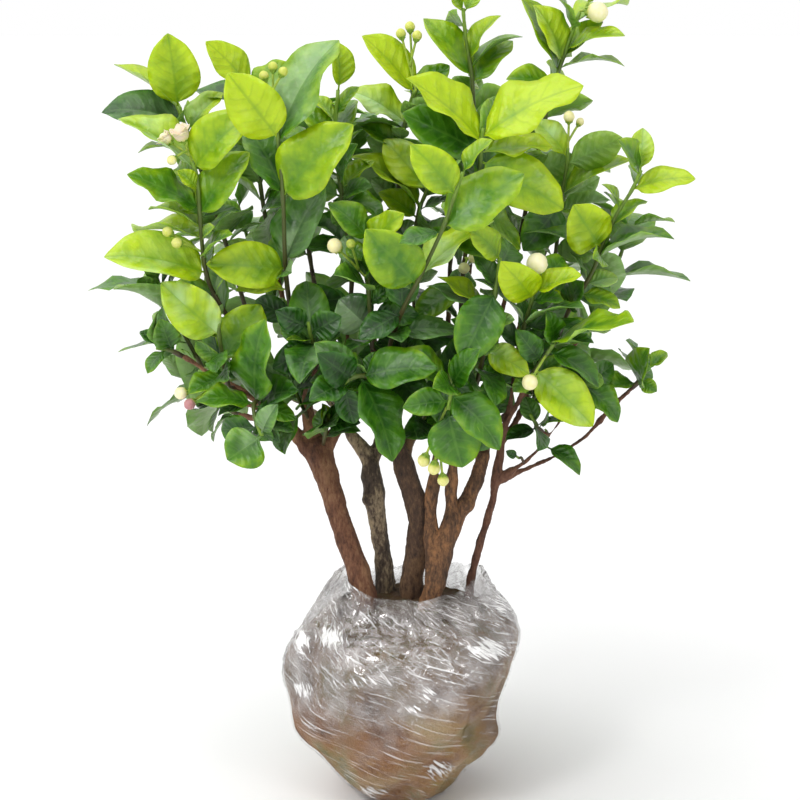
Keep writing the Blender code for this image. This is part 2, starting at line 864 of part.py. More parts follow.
def tube(name, points, radii, collection, fineness=0):
    """A closed tube as a mesh, made from a curve with round caps welded on."""
    data = bpy.data.curves.new(name, "CURVE")
    data.dimensions = "3D"
    data.bevel_depth = 1
    data.bevel_resolution = fineness
    data.use_fill_caps = True
    spline = data.splines.new("POLY")
    spline.points.add(len(points) - 1)
    for spot, point, radius in zip(spline.points, points, radii):
        spot.co = (*point, 1)
        spot.radius = radius
    curve = make_object(name, data, collection)
    graph = bpy.context.evaluated_depsgraph_get()
    mesh = bpy.data.meshes.new_from_object(curve.evaluated_get(graph))
    bpy.data.objects.remove(curve)
    bpy.data.curves.remove(data)
    bm = bmesh.new()
    bm.from_mesh(mesh)
    bmesh.ops.remove_doubles(bm, verts=bm.verts, dist=WELD)
    bmesh.ops.recalc_face_normals(bm, faces=bm.faces)
    bm.to_mesh(mesh)
    bm.free()
    return make_object(name, mesh, collection)


def limb_tube(limb, collection):
    """One limb of a trunk."""
    points = [seen(*spot[:3]) for spot in limb.path]
    return tube("limb", points, [spot[3] * MM for spot in limb.path], collection, limb.fineness)


def join(name, pieces, collection, material):
    """One body from overlapping pieces, by a Boolean union on their collection."""
    group = bpy.data.collections.new("joining")
    for piece in pieces[1:]:
        group.objects.link(piece)
    first = pieces[0]
    first.name = name
    if len(pieces) > 1:
        union = first.modifiers.new("union", "BOOLEAN")
        union.operation = "UNION"
        union.operand_type = "COLLECTION"
        union.collection = group
        union.solver = "EXACT"
        graph = bpy.context.evaluated_depsgraph_get()
        mesh = bpy.data.meshes.new_from_object(first.evaluated_get(graph))
        first.modifiers.clear()
        first.data = mesh
    for piece in pieces[1:]:
        bpy.data.objects.remove(piece)
    bpy.data.collections.remove(group)
    first.data.name = name
    first.data.materials.clear()
    first.data.materials.append(material)
    if first.name not in collection.objects:
        collection.objects.link(first)
    return first


def plant_holes(ball, helpers):
    """The plain holes in the soil that the trunks stand in."""
    for limbs in TRUNKS.values():
        foot, ground, above = (seen(*spot[:3]) for spot in limbs[0].path[:3])
        bottom = foot + (foot - ground).normalized() * GAP
        top = ground + (above - ground) * HOLE_RISE
        radius = limbs[0].path[0][3] * MM + GAP
        cutter = tube("hole", [bottom, ground, top], [radius] * 3, helpers, 2)
        cutter.hide_render = True
        cutter.display_type = "WIRE"
        cut = ball.modifiers.new("hole", "BOOLEAN")
        cut.operation = "DIFFERENCE"
        cut.object = cutter
        cut.solver = "EXACT"


def twig_points(shoot):
    return [seen(*spot) for spot in shoot.twig]


def stem_points(shoot):
    """The green stem, from just past its twig: a short straight collar, then its path."""
    twig = twig_points(shoot)
    along = (twig[-1] - twig[-2]).normalized()
    start = twig[-1] + along * GAP
    return [start, start + along * COLLAR, *(seen(*spot) for spot in shoot.stem)]


def taper(points, first, last):
    """A radius for each point, falling evenly along the path."""
    lengths = [0.0]
    for a, b in zip(points, points[1:]):
        lengths.append(lengths[-1] + (b - a).length)
    return [first + (last - first) * run / lengths[-1] for run in lengths]


def trunk(name, collection, material):
    """A trunk with its limbs and the twigs that carry shoots."""
    pieces = [limb_tube(limb, collection) for limb in TRUNKS[name]]
    for shoot in SHOOTS:
        if shoot.trunk == name:
            points = twig_points(shoot)
            radii = taper(points, TWIG_RADIUS * TWIG_SWELL, TWIG_RADIUS)
            pieces.append(tube("twig", points, radii, collection))
    return join(name, pieces, collection, material)


class Blade(NamedTuple):
    """A leaf in space: its base on the stem's axis, its tip, the way its face looks, and its half width."""

    base: Vector
    tip: Vector
    face: Vector
    half: float


def blade_frame(blade):
    """The leaf's length as a vector, with its side and face as unit vectors."""
    along = blade.tip - blade.base
    side = along.cross(blade.face).normalized()
    return along, side, side.cross(along).normalized()


def blade_station(blade, share, width, turn, thick):
    """Left edge, rib top, right edge and rib underside at a share of the blade's length."""
    along, side, face = blade_frame(blade)
    bow = 4 * share * (1 - share) * BLADE_BOW * along.length
    middle = blade.base + along * share + face * bow
    reach = blade.half * width
    lift = reach * BLADE_FOLD
    wave = reach * BLADE_WAVE * turn
    return (
        middle - side * reach + face * (lift + wave),
        middle - face * thick,
        middle + side * reach + face * (lift - wave),
        middle + face * thick,
    )


def blade_rings(blade, margin, start):
    """The blade's sections. A margin makes it thicker and wider all round."""
    along, side, face = blade_frame(blade)
    neck = PETIOLE_HALF_WIDTH
    foot = blade.base + along.normalized() * start
    root = (foot - side * neck, foot - face * neck, foot + side * neck, foot + face * neck)
    wide = blade._replace(half=blade.half + margin)
    thick = LEAF_HALF_THICK + margin
    rings = [root]
    for index, (share, width) in enumerate(BLADE_STATIONS):
        rings.append(blade_station(wide, share, width, 1 - 2 * index, thick))
    return rings, blade.tip + along.normalized() * margin


def blade_mesh(blade, margin=0.0, start=0.0):
    """A closed leaf, faceted alike on both faces."""
    rings, tip = blade_rings(blade, margin, start)
    return loft(rings, "cap", tip)


def nearest_on(points, spot):
    """The point of a path nearest to a spot, with the path's direction there."""
    best = None
    for a, b in zip(points, points[1:]):
        run = b - a
        share = min(1.0, max(0.0, (spot - a).dot(run) / run.length_squared))
        found = a + run * share
        gap = (found - spot).length
        if best is None or gap < best[0]:
            best = (gap, found, run.normalized())
    return best[1], best[2]


def nearest_seen(points, across, down):
    """The point of a path that shows nearest to a place of the front view."""
    best = None
    for a, b in zip(points, points[1:]):
        for step in range(SEARCH_STEPS + 1):
            found = a.lerp(b, step / SEARCH_STEPS)
            spot = seen(across, down, found.y / MM)
            gap = (found - spot).length
            if best is None or gap < best[0]:
                best = (gap, found)
    return best[1]


def seen_options(leaf, stem):
    """A leaf of the front view: its tip keeps its place there and may lie nearer or further back."""
    base = nearest_seen(stem, *leaf.base)
    for sway in REACHES:
        tip = seen(*leaf.tip, base.y / MM + leaf.reach + sway)
        along = tip - base
        length = along.length
        full = max(leaf.width * STEP, BLADE_RATIO * length) / 2
        shown = min(1.0, leaf.width * STEP / 2 / full)
        eye = toward_eye(base)
        eye = (eye - along * (eye.dot(along) / length**2)).normalized()
        above = eye.cross(along).normalized()
        if above.z < 0:
            above = -above
        face = eye * shown + above * math.sqrt(1 - shown**2)
        yield Blade(base, tip, face, full)


def grown_options(base, along, face, length, half):
    """A leaf that grows by rule, and the ways it may tilt and turn to stay clear."""
    side = along.cross(face).normalized()
    for pitch, yaw in TILTS:
        turn = Matrix.Rotation(math.radians(yaw), 3, face) @ Matrix.Rotation(math.radians(pitch), 3, side)
        turned = turn @ along
        yield Blade(base, base + turned * length, turn @ face, half)


def walk(points, share):
    """The point and direction at a share of a path's length."""
    spans = [(b - a).length for a, b in zip(points, points[1:])]
    left = share * sum(spans)
    for a, b, span in zip(points, points[1:], spans):
        if left <= span:
            return a.lerp(b, left / span), (b - a).normalized()
        left -= span
    return points[-1].copy(), (points[-1] - points[-2]).normalized()


def grown_leaves(shoot, stem):
    """Opposite pairs up the stem, each turned a quarter from the last, with young ones at the tip."""
    rng = random.Random(shoot.name)
    spin = rng.uniform(0, math.pi)
    found = []
    for pair in range(shoot.pairs):
        rank = (pair + (0.5 if shoot.leaves else 1)) / shoot.pairs
        base, along = walk(stem, FIRST_PAIR + (LAST_PAIR - FIRST_PAIR) * rank)
        across = along.orthogonal().normalized()
        arc = SIZE_ARC[0] + (SIZE_ARC[1] - SIZE_ARC[0]) * rank
        size = math.sin(math.pi * arc) * rng.uniform(*SIZE_SPREAD)
        for half_turn in (0, math.pi):
            turn = spin + half_turn + rng.uniform(-SPIN_SPREAD, SPIN_SPREAD)
            out = Matrix.Rotation(turn, 3, along) @ across
            lean = math.radians(shoot.lean + rng.uniform(-LEAN_SPREAD, LEAN_SPREAD))
            way = along * math.cos(lean) + out * math.sin(lean)
            way.z += rng.uniform(*DROOP)
            way.normalize()
            face = UP * FACE_UP + along * FACE_ALONG + out * rng.uniform(-FACE_SPREAD, FACE_SPREAD)
            face = (face - way * face.dot(way)).normalized()
            length = shoot.length * MM * size
            found.append(list(grown_options(base, way, face, length, length * BLADE_RATIO / 2)))
        spin += math.pi / 2 + rng.uniform(-SPIN_SPREAD, SPIN_SPREAD)
    return found


def span_and_tree(bm):
    """The corners of a mesh's box, and a tree of its faces."""
    spots = [v.co for v in bm.verts]
    low = [min(p[i] for p in spots) for i in range(3)]
    high = [max(p[i] for p in spots) for i in range(3)]
    return low, high, BVHTree.FromBMesh(bm)


class Crowd:
    """What has been placed so far, so that nothing new crosses it."""

    def __init__(self):
        self.held = []

    def add(self, owner, bm):
        self.held.append((owner, *span_and_tree(bm)))

    def meets(self, bm, owner, kin):
        """Whether this shape crosses anything of the owner's, if kin, or of any other's, if not."""
        low, high, tree = span_and_tree(bm)
        for held_by, other_low, other_high, other in self.held:
            if (held_by == owner) != kin:
                continue
            near = all(low[i] < other_high[i] and high[i] > other_low[i] for i in range(3))
            if near and tree.overlap(other):
                return True
        return False


def first_clear(options, crowd, shoot_name):
    """The first way a leaf can lie that crosses nothing, or None.

    Against its own shoot the leaf is tested without its root, which is sunk in the stem.
    """
    for blade in options:
        whole = blade_mesh(blade, CLEAR)
        rootless = blade_mesh(blade, CLEAR, ROOT_DEPTH)
        crossed = crowd.meets(whole, shoot_name, False) or crowd.meets(rootless, shoot_name, True)
        whole.free()
        rootless.free()
        if not crossed:
            held = blade_mesh(blade)
            crowd.add(shoot_name, held)
            held.free()
            return blade
    return None


def note(crowd, owner, obj):
    """Puts an object into the crowd."""
    bm = bmesh.new()
    bm.from_mesh(obj.data)
    crowd.add(owner, bm)
    bm.free()


def stem_tube(shoot, collection):
    """A shoot's green stem."""
    points = stem_points(shoot)
    return tube(shoot.name, points, taper(points, STEM_RADIUS, STEM_TIP), collection)


def stalked_bud(path, out, centre, radius, collection):
    """A bud and its stalk in one skin: sections along the stalk's path and through the bud.

    The stalk leaves its first point squarely, in the direction out.
    """
    along = (centre - path[-1]).normalized()
    high = radius * BUD_STRETCH
    sections = [(point, STALK_RADIUS, along) for point in (*path, centre - along * high)]
    sections += [(centre + along * high * level, radius * width, along) for level, width in BUD_SECTIONS]
    sections[0] = (path[0], STALK_RADIUS, out)
    rings = []
    for middle, reach, way in sections:
        turn = along.rotation_difference(way).to_matrix() @ UP.rotation_difference(along).to_matrix()
        ring = []
        for i in range(BUD_SIDES):
            angle = 2 * math.pi * i / BUD_SIDES
            ring.append(middle + turn @ Vector((reach * math.cos(angle), reach * math.sin(angle), 0)))
        rings.append(ring)
    bm = loft(rings, "cap", centre + along * high)
    bmesh.ops.recalc_face_normals(bm, faces=bm.faces)
    return make_object("bud", mesh_of(bm, "bud"), collection)


def cluster_seat(cluster, stem):
    """Where a cluster's stalk starts: just past the stem's tip, or just off its side."""
    wanted = seen(*cluster.seat)
    point, along = nearest_on(stem, wanted)
    if (point - stem[-1]).length < STEM_TIP:
        return stem[-1] + along * GAP, along
    first = seen(*cluster.buds[0][:3])
    out = first - point
    out = (out - along * out.dot(along)).normalized()
    return point + out * (STEM_RADIUS + GAP), out


def bud_cluster(cluster, stem, collection, material):
    """A bud on its stalk, with the others branching from that stalk, fused."""
    seat, out = cluster_seat(cluster, stem)
    collar = seat + out * 2 * STALK_RADIUS
    pieces = []
    first = None
    for number, (across, down, back, size) in enumerate(cluster.buds):
        centre = seen(across, down, back)
        if number == 0:
            first = centre
            path = [seat, collar]
        else:
            path = [collar.lerp(first, BRANCH_START + BRANCH_STEP * (number - 1))]
            out = (centre - path[0]).normalized()
        pieces.append(stalked_bud(path, out, centre, size * STEP / 2, collection))
    return join(cluster.name, pieces, collection, material)


def leafy_shoot(shoot, stem, blades, collection, material):
    """The green stem fused with its leaves."""
    pieces = [stem]
    for blade in blades:
        bm = blade_mesh(blade)
        bmesh.ops.recalc_face_normals(bm, faces=bm.faces)
        pieces.append(make_object("leaf", mesh_of(bm, "leaf"), collection))
    return join(shoot.name, pieces, collection, material)


def main():
    clear_scene()
    bush = make_collection("jasmine_plant")
    helpers = make_collection("helpers", hidden=True)
    bark = make_material("bark", (0.10, 0.05, 0.025), 0.85)
    green = make_material("leaf", (0.14, 0.36, 0.02), 0.4)
    cream = make_material("bud", (0.85, 0.82, 0.50), 0.5)
    soil = make_material("soil", (0.13, 0.08, 0.045), 0.95)
    film = make_material("film", (0.62, 0.58, 0.52), 0.2)

    plant_holes(root_ball(bush, soil), helpers)
    stretch_film(bush, film)
    crowd = Crowd()
    for name in TRUNKS:
        note(crowd, name, trunk(name, bush, bark))

    paths = {shoot.name: stem_points(shoot) for shoot in SHOOTS}
    stems = {shoot.name: stem_tube(shoot, bush) for shoot in SHOOTS}
    for name, stem in stems.items():
        note(crowd, name, stem)
    for cluster in CLUSTERS:
        note(crowd, cluster.name, bud_cluster(cluster, paths[cluster.shoot], bush, cream))

    placed = {shoot.name: [] for shoot in SHOOTS}
    for shoot in SHOOTS:
        for leaf in shoot.leaves:
            options = seen_options(leaf, paths[shoot.name])
            placed[shoot.name].append(first_clear(options, crowd, shoot.name))
    for shoot in SHOOTS:
        for options in grown_leaves(shoot, paths[shoot.name]):
            placed[shoot.name].append(first_clear(options, crowd, shoot.name))
    for shoot in SHOOTS:
        blades = [blade for blade in placed[shoot.name] if blade]
        leafy_shoot(shoot, stems[shoot.name], blades, bush, green)


main()
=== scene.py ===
"""Dresses the jasmine bush: its bark, stems, leaves and buds, and the soil and stretch film of its root ball.

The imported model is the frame. Each of its nodes is replaced by a finer piece that keeps its form, and the
small leaves that the solids leave out are added. The front of the bush is laid out as it is seen from the
camera: a place there is (across, down) in steps of the view, with a depth in millimetres.
"""

from __future__ import annotations

import logging
import math
import random
from dataclasses import dataclass
from enum import Enum
from functools import partial
from typing import Callable, NamedTuple

import bmesh
import bpy
from bmesh.types import BMEdge, BMesh, BMVert
from bpy.types import Material, Mesh, Node, NodeSocket, NodeTree, Object
from mathutils import Matrix, Vector, noise
from mathutils.bvhtree import BVHTree

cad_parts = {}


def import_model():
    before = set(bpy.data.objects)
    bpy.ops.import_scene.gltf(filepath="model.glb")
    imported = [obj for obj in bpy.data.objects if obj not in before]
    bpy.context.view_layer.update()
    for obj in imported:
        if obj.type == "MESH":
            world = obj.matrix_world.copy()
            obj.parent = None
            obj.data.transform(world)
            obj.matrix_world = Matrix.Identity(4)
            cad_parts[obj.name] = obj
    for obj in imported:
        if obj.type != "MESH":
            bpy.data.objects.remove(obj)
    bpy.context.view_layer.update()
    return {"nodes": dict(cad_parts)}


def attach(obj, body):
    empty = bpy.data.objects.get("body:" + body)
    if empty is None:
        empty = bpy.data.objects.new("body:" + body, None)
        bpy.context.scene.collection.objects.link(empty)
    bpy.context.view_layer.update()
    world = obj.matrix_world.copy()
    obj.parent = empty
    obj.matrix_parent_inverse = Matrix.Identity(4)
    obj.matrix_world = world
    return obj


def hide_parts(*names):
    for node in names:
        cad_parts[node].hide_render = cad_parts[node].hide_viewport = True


LOG = logging.getLogger("jasmine")
MM = 0.001
UP = Vector((0, 0, 1))
WELD = 0.01 * MM


class Slot(Enum):
    """The material slots."""

    SOIL = "soil"
    FILM = "film"
    BARK = "bark"
    LEAF = "leaf"
    BUD = "bud"


class Look(NamedTuple):
    """How one leaf of the front view looks: the place of its tip, its tone and the amount of pale reflection
    painted on it.

    The tone runs from 0, the deepest green, to 1, a young lime green.
    """

    across: float
    down: float
    tone: float
    reflection_amount: float = 0.0


class SmallLeaf(NamedTuple):
    """A small leaf that the solids leave out: base, tip and width in steps, its reach back and its tone."""

    base: tuple
    tip: tuple
    width: float
    reach: float
    tone: float


class ShootPlan(NamedTuple):
    """A leafy shoot: the end of its woody twig and then its green stem, as places of the front view."""

    name: str
    path: tuple
    looks: tuple = ()
    small: tuple = ()


class ClusterPlan(NamedTuple):
    """A bunch of buds: the shoot that it grows on, its seat, and each bud's place and diameter in steps."""

    # Painted highlights on the front of the film: their places, sizes and strengths.
    name: str
    shoot: str
    seat: tuple
    buds: tuple


SHOOTS = (
    ShootPlan("shoot_far_left",
        ((256, 375, -16), (232, 325, -30), (212, 290, -37), (204, 262, -42), (200, 215, -46),
         (197, 178, -46), (192, 162, -44)),
        (Look(250, 112, 0.75), Look(250, 152, 0.6), Look(126, 177, 0.5), Look(118, 118, 0.8, 1),
         Look(106, 255, 0.85, 0.6), Look(135, 232, 0.8), Look(148, 205, 0.7)),
        (SmallLeaf((197, 190), (178, 170), 14, -6, 0.8), SmallLeaf((204, 252), (152, 238), 14, -8, 0.6)),
    ),
    ShootPlan("shoot_left_tall",
        ((262, 370, 4), (246, 310, 10), (228, 250, 12), (208, 190, 10), (192, 145, 6), (178, 106, 2)),
        (Look(170, 33, 0.85), Look(111, 67, 0.9), Look(103, 105, 0.15, 0.6), Look(222, 92, 0.8, 0.5)),
        (SmallLeaf((212, 200), (243, 182), 16, 10, 0.5),),
    ),
    ShootPlan("shoot_left_high",
        ((288, 320, 8), (274, 262, 16), (264, 210, 18), (256, 150, 16), (250, 88, 10)),
        (Look(207, 40, 1), Look(195, 90, 0.3), Look(290, 62, 0.6)),
    ),
    ShootPlan("shoot_left_middle",
        ((301, 362, -6), (296, 340, -7), (286, 275, -26), (283, 196, -44), (278, 138, -50),
         (275, 108, -50)),
        (Look(228, 72, 1), Look(333, 37, 0.5, 0.6), Look(247, 125, 0.4), Look(351, 125, 0.7),
         Look(208, 266, 0.75), Look(325, 185, 0.3, 0.6), Look(237, 290, 0.95), Look(342, 296, 0.12),
         Look(255, 300, 0.15)),
        (SmallLeaf((283, 206), (310, 187), 12, -6, 0.75), SmallLeaf((284, 224), (266, 200), 18, -8, 0.65)),
    ),
    ShootPlan("shoot_inner_left",
        ((345, 370, 0), (348, 330, 4), (352, 270, 6), (346, 225, 4), (341, 190, 2), (335, 140, 0),
         (338, 90, -2)),
        (Look(336, 40, 0.85), Look(311, 94, 0.8, 0.5), Look(353, 144, 0.4), Look(374, 160, 0.7),
         Look(385, 214, 0.45)),
        (SmallLeaf((336, 116), (357, 86), 14, -5, 0.6),),
    ),
    ShootPlan("shoot_small_front",
        ((379, 380, -16), (373, 350, -24), (370, 312, -34), (368, 275, -42), (369, 240, -44)),
        (Look(330, 203, 0.45), Look(402, 212, 0.75), Look(338, 300, 0.1, 0.6), Look(420, 318, 0.2)),
    ),
    ShootPlan("shoot_front_middle",
        ((386, 386, -16), (387, 366, -25), (392, 338, -40), (405, 305, -54), (420, 277, -64),
         (443, 228, -76), (455, 195, -80), (463, 172, -80)),
        (Look(525, 175, 0.6), Look(366, 228, 0.6), Look(400, 245, 0.35), Look(415, 143, 0.75),
         Look(496, 222, 0.85, 1), Look(492, 140, 0.7), Look(360, 340, 0.15)),
    ),
    ShootPlan("shoot_middle",
        ((422, 378, 17), (416, 320, 20), (412, 262, 20), (418, 215, 18), (428, 188, 16), (438, 160, 14)),
        (Look(352, 153, 0.8), Look(385, 138, 0.85, 1), Look(380, 190, 0.75), Look(447, 252, 0.8, 0.5),
         Look(447, 118, 0.6)),
    ),
    ShootPlan("shoot_tall_middle",
        ((458, 400, -4), (460, 340, 2), (463, 270, -2), (472, 225, -14), (479, 183, -26), (481, 150, -34),
         (483, 128, -36)),
        (Look(400, 118, 0.35), Look(405, 80, 1), Look(583, 85, 1), Look(553, 150, 0.9),
         Look(562, 212, 0.75), Look(414, 318, 0.5), Look(520, 248, 0.6, 0.6)),
    ),
    ShootPlan("shoot_top_left",
        ((392, 320, 34), (396, 260, 34), (398, 200, 32), (401, 145, 30), (409, 108, 28), (415, 90, 26)),
        (Look(360, 38, 1), Look(350, 90, 0.85, 1), Look(361, 125, 0.5), Look(450, 66, 0.5)),
    ),
    ShootPlan("shoot_top_middle",
        ((462, 330, 36), (470, 265, 36), (476, 200, 36), (475, 140, 34), (472, 78, 30), (466, 40, 28),
         (463, 8, 27)),
        (Look(425, 18, 0.65), Look(512, 40, 0.6), Look(448, -15, 0.7), Look(485, -12, 0.7),
         Look(498, 14, 0.8)),
    ),
    ShootPlan("shoot_top_right",
        ((500, 320, 26), (516, 255, 28), (530, 190, 28), (545, 120, 24), (554, 85, 20), (566, 50, 16),
         (580, 12, 14)),
        (Look(520, -2, 0.6), Look(506, 78, 0.6), Look(604, 22, 0.75), Look(622, 33, 0.8),
         Look(628, 2, 0.8, 0.5), Look(535, 6, 0.9, 0.5), Look(500, 118, 0.6)),
    ),
    ShootPlan("shoot_right_inner",
        ((533, 388, 13), (542, 345, 18), (549, 300, 18), (556, 250, 16), (561, 200, 14), (567, 165, 12),
         (568, 148, 12)),
        (Look(632, 163, 0.75), Look(643, 115, 0.95), Look(535, 118, 0.85, 1), Look(525, 250, 0.3)),
        (SmallLeaf((564, 180), (625, 146), 20, 12, 0.85),),
    ),
    ShootPlan("shoot_right",
        ((534, 386, 14), (548, 356, 6), (562, 328, -4), (568, 312, -7), (585, 285, -12), (594, 268, -15),
         (602, 246, -18), (617, 214, -21), (632, 190, -22), (641, 170, -22)),
        (Look(572, 206, 0.85), Look(647, 200, 0.6), Look(695, 178, 0.95), Look(645, 128, 0.85, 0.5),
         Look(620, 138, 0.5), Look(583, 283, 0.3), Look(619, 277, 0.6, 0.5), Look(620, 308, 0.6)),
        (SmallLeaf((569, 311), (540, 293), 15, 8, 0.85),),
    ),
    ShootPlan("shoot_right_front",
        ((510, 408, -4), (514, 372, -20), (518, 349, -32), (526, 320, -44), (532, 300, -50),
         (536, 280, -54)),
        (Look(505, 260, 0.95), Look(582, 278, 0.95), Look(592, 238, 0.5), Look(590, 330, 0.25)),
        (SmallLeaf((519, 344), (503, 315), 25, -8, 0.2),),
    ),
    ShootPlan("shoot_low_middle",
        ((466, 415, -20), (474, 392, -30), (482, 362, -42), (490, 325, -52), (496, 287, -60),
         (500, 258, -62)),
        (Look(460, 362, 0.35), Look(437, 277, 0.85), Look(471, 226, 0.75), Look(450, 245, 0.5),
         Look(530, 372, 0.8, 0.5)),
    ),
    ShootPlan("shoot_left_low",
        ((252, 398, -16), (232, 388, -28), (224, 366, -38), (219, 332, -48), (221, 318, -51)),
        (Look(160, 285, 0.85, 1), Look(193, 283, 0.6), Look(258, 303, 0.65), Look(190, 396, 0.45)),
        (SmallLeaf((220, 340), (178, 326), 18, 10, 0.8),),
    ),
    ShootPlan("shoot_twig_left",
        ((190, 360, 0), (180, 355, 0), (170, 350, 0), (156, 348, 0)),
        (Look(160, 320, 0.35, 0.6), Look(146, 372, 0.4)),
        (SmallLeaf((160, 349), (140, 330), 14, 6, 0.2),),
    ),
    ShootPlan("shoot_front_left",
        ((268, 404, -22), (262, 400, -36), (254, 404, -50), (255, 418, -58), (262, 436, -62)),
        (Look(228, 461, 0.45, 0.5), Look(220, 432, 0.25), Look(276, 404, 0.3, 0.6), Look(263, 320, 0.4),
         Look(197, 396, 0.45), Look(175, 408, 0.45)),
    ),
    ShootPlan("shoot_hanging",
        ((440, 415, -26), (444, 392, -42), (448, 376, -58), (452, 384, -68), (448, 410, -74)),
        (Look(460, 468, 0.4), Look(402, 406, 0.4), Look(503, 446, 0.4), Look(478, 352, 0.3),
         Look(395, 352, 0.45)),
    ),
    ShootPlan("shoot_front_low",
        ((388, 404, -30), (378, 388, -44), (366, 376, -56), (352, 378, -62), (340, 386, -64)),
        (Look(438, 366, 0.35), Look(392, 462, 0.3), Look(312, 402, 0.2), Look(318, 356, 0.12),
         Look(352, 424, 0.15)),
    ),
    ShootPlan("shoot_front_dark",
        ((313, 378, -18), (316, 366, -28), (316, 352, -36), (311, 336, -42), (308, 322, -44)),
        (Look(272, 366, 0.12), Look(340, 316, 0.12), Look(276, 312, 0.12)),
    ),
    ShootPlan("shoot_low_right",
        ((520, 398, -22), (527, 386, -34), (534, 371, -46), (546, 355, -50), (556, 341, -48)),
        (Look(592, 427, 0.85, 0.4), Look(633, 326, 0.65), Look(600, 385, 0.35), Look(516, 332, 0.25),
         Look(550, 312, 0.3)),
    ),
    ShootPlan("shoot_twig_right",
        ((617, 402, 2), (634, 386, 0), (642, 376, -2), (650, 366, -4)),
        (Look(648, 350, 0.5), Look(600, 384, 0.5), Look(668, 352, 0.6)),
        (SmallLeaf((640, 380), (656, 392), 16, -6, 0.5),),
    ),
    ShootPlan("shoot_twig_low",
        ((549, 436, -12), (540, 430, -16), (536, 424, -18), (530, 414, -20)),
        (Look(526, 396, 0.4, 0.5), Look(506, 440, 0.15), Look(584, 474, 0.4)),
        (SmallLeaf((532, 418), (556, 400), 20, -6, 0.25),),
    ),
    ShootPlan("shoot_twig_tip",
        ((565, 414, -14), (572, 402, -14), (580, 390, -14), (586, 380, -14)),
        (Look(620, 420, 0.4), Look(552, 412, 0.3)),
        (SmallLeaf((586, 382), (572, 358), 18, 6, 0.35),),
    ),
    ShootPlan("shoot_side_left",
        ((240, 400, 14), (215, 385, 24), (190, 345, 30), (165, 300, 36), (150, 255, 40)),
    ),
    ShootPlan("shoot_side_left_low", ((258, 420, 14), (238, 414, 34), (212, 400, 50), (186, 382, 66))),
    ShootPlan("shoot_back_left",
        ((318, 390, 40), (296, 350, 56), (272, 300, 74), (250, 245, 90), (238, 205, 98)),
    ),
    ShootPlan("shoot_back_left_low", ((312, 410, 44), (290, 396, 60), (262, 380, 82), (232, 366, 104))),
    ShootPlan("shoot_back_left_high",
        ((322, 330, 40), (312, 270, 50), (302, 205, 58), (296, 140, 64), (300, 95, 66)),
    ),
    ShootPlan("shoot_back_middle",
        ((374, 340, 50), (368, 290, 62), (362, 230, 74), (358, 165, 84), (356, 120, 88)),
    ),
    ShootPlan("shoot_back_middle_low", ((370, 392, 54), (362, 376, 74), (352, 352, 98), (340, 330, 122))),
    ShootPlan("shoot_back_right_high",
        ((448, 330, 56), (450, 270, 66), (456, 205, 74), (464, 145, 80), (466, 105, 82)),
    ),
    ShootPlan("shoot_back_right",
        ((508, 360, 44), (524, 310, 58), (544, 255, 74), (562, 205, 86), (572, 170, 92)),
    ),
    ShootPlan("shoot_back_right_low", ((512, 408, 42), (530, 392, 60), (556, 372, 82), (580, 356, 102))),
    ShootPlan("shoot_side_right",
        ((560, 366, 28), (578, 340, 38), (600, 300, 46), (618, 262, 52), (630, 225, 56)),
    ),
)

CLUSTERS = (
    ClusterPlan("flower_left", "shoot_far_left", (192, 161, -44),
        ((181, 134, -50, 15), (166, 139, -48, 12), (172, 160, -54, 9)),
    ),
    ClusterPlan("buds_far_left", "shoot_far_left", (202, 250, -43),
        ((168, 232, -50, 10), (177, 243, -54, 10)),
    ),
    ClusterPlan("buds_left_middle", "shoot_left_middle", (275, 108, -50),
        ((264, 76, -52, 9), (273, 67, -48, 9), (283, 72, -52, 9)),
    ),
    ClusterPlan("buds_top_left", "shoot_top_left", (415, 88, 26),
        ((401, 34, 24, 10), (410, 27, 26, 10), (417, 36, 22, 10)),
    ),
    ClusterPlan("buds_top_right", "shoot_top_right", (580, 10, 14), ((597, 12, 8, 20), (592, -4, 14, 9))),
    ClusterPlan("buds_right_inner", "shoot_right_inner", (568, 146, 12),
        ((569, 117, 8, 11), (580, 122, 14, 8)),
    ),
    ClusterPlan("bud_right_front", "shoot_right_front", (536, 280, -54), ((537, 264, -60, 20),)),
    ClusterPlan("buds_middle", "shoot_tall_middle", (466, 256, -5),
        ((475, 257, -30, 13), (464, 268, -32, 11)),
    ),
    ClusterPlan("bud_small_front", "shoot_small_front", (368, 275, -42),
        ((335, 246, -54, 14), (351, 244, -54, 9)),
    ),
    ClusterPlan("bud_low_right", "shoot_low_right", (545, 356, -50), ((530, 382, -66, 15),)),
    ClusterPlan("buds_twig_left", "shoot_left_low", (229, 380, -32),
        ((181, 393, -46, 12), (190, 404, -48, 11)),
    ),
    ClusterPlan("buds_hanging", "shoot_hanging", (448, 408, -74),
        ((424, 460, -70, 12), (434, 468, -72, 12), (443, 480, -70, 11)),
    ),
)

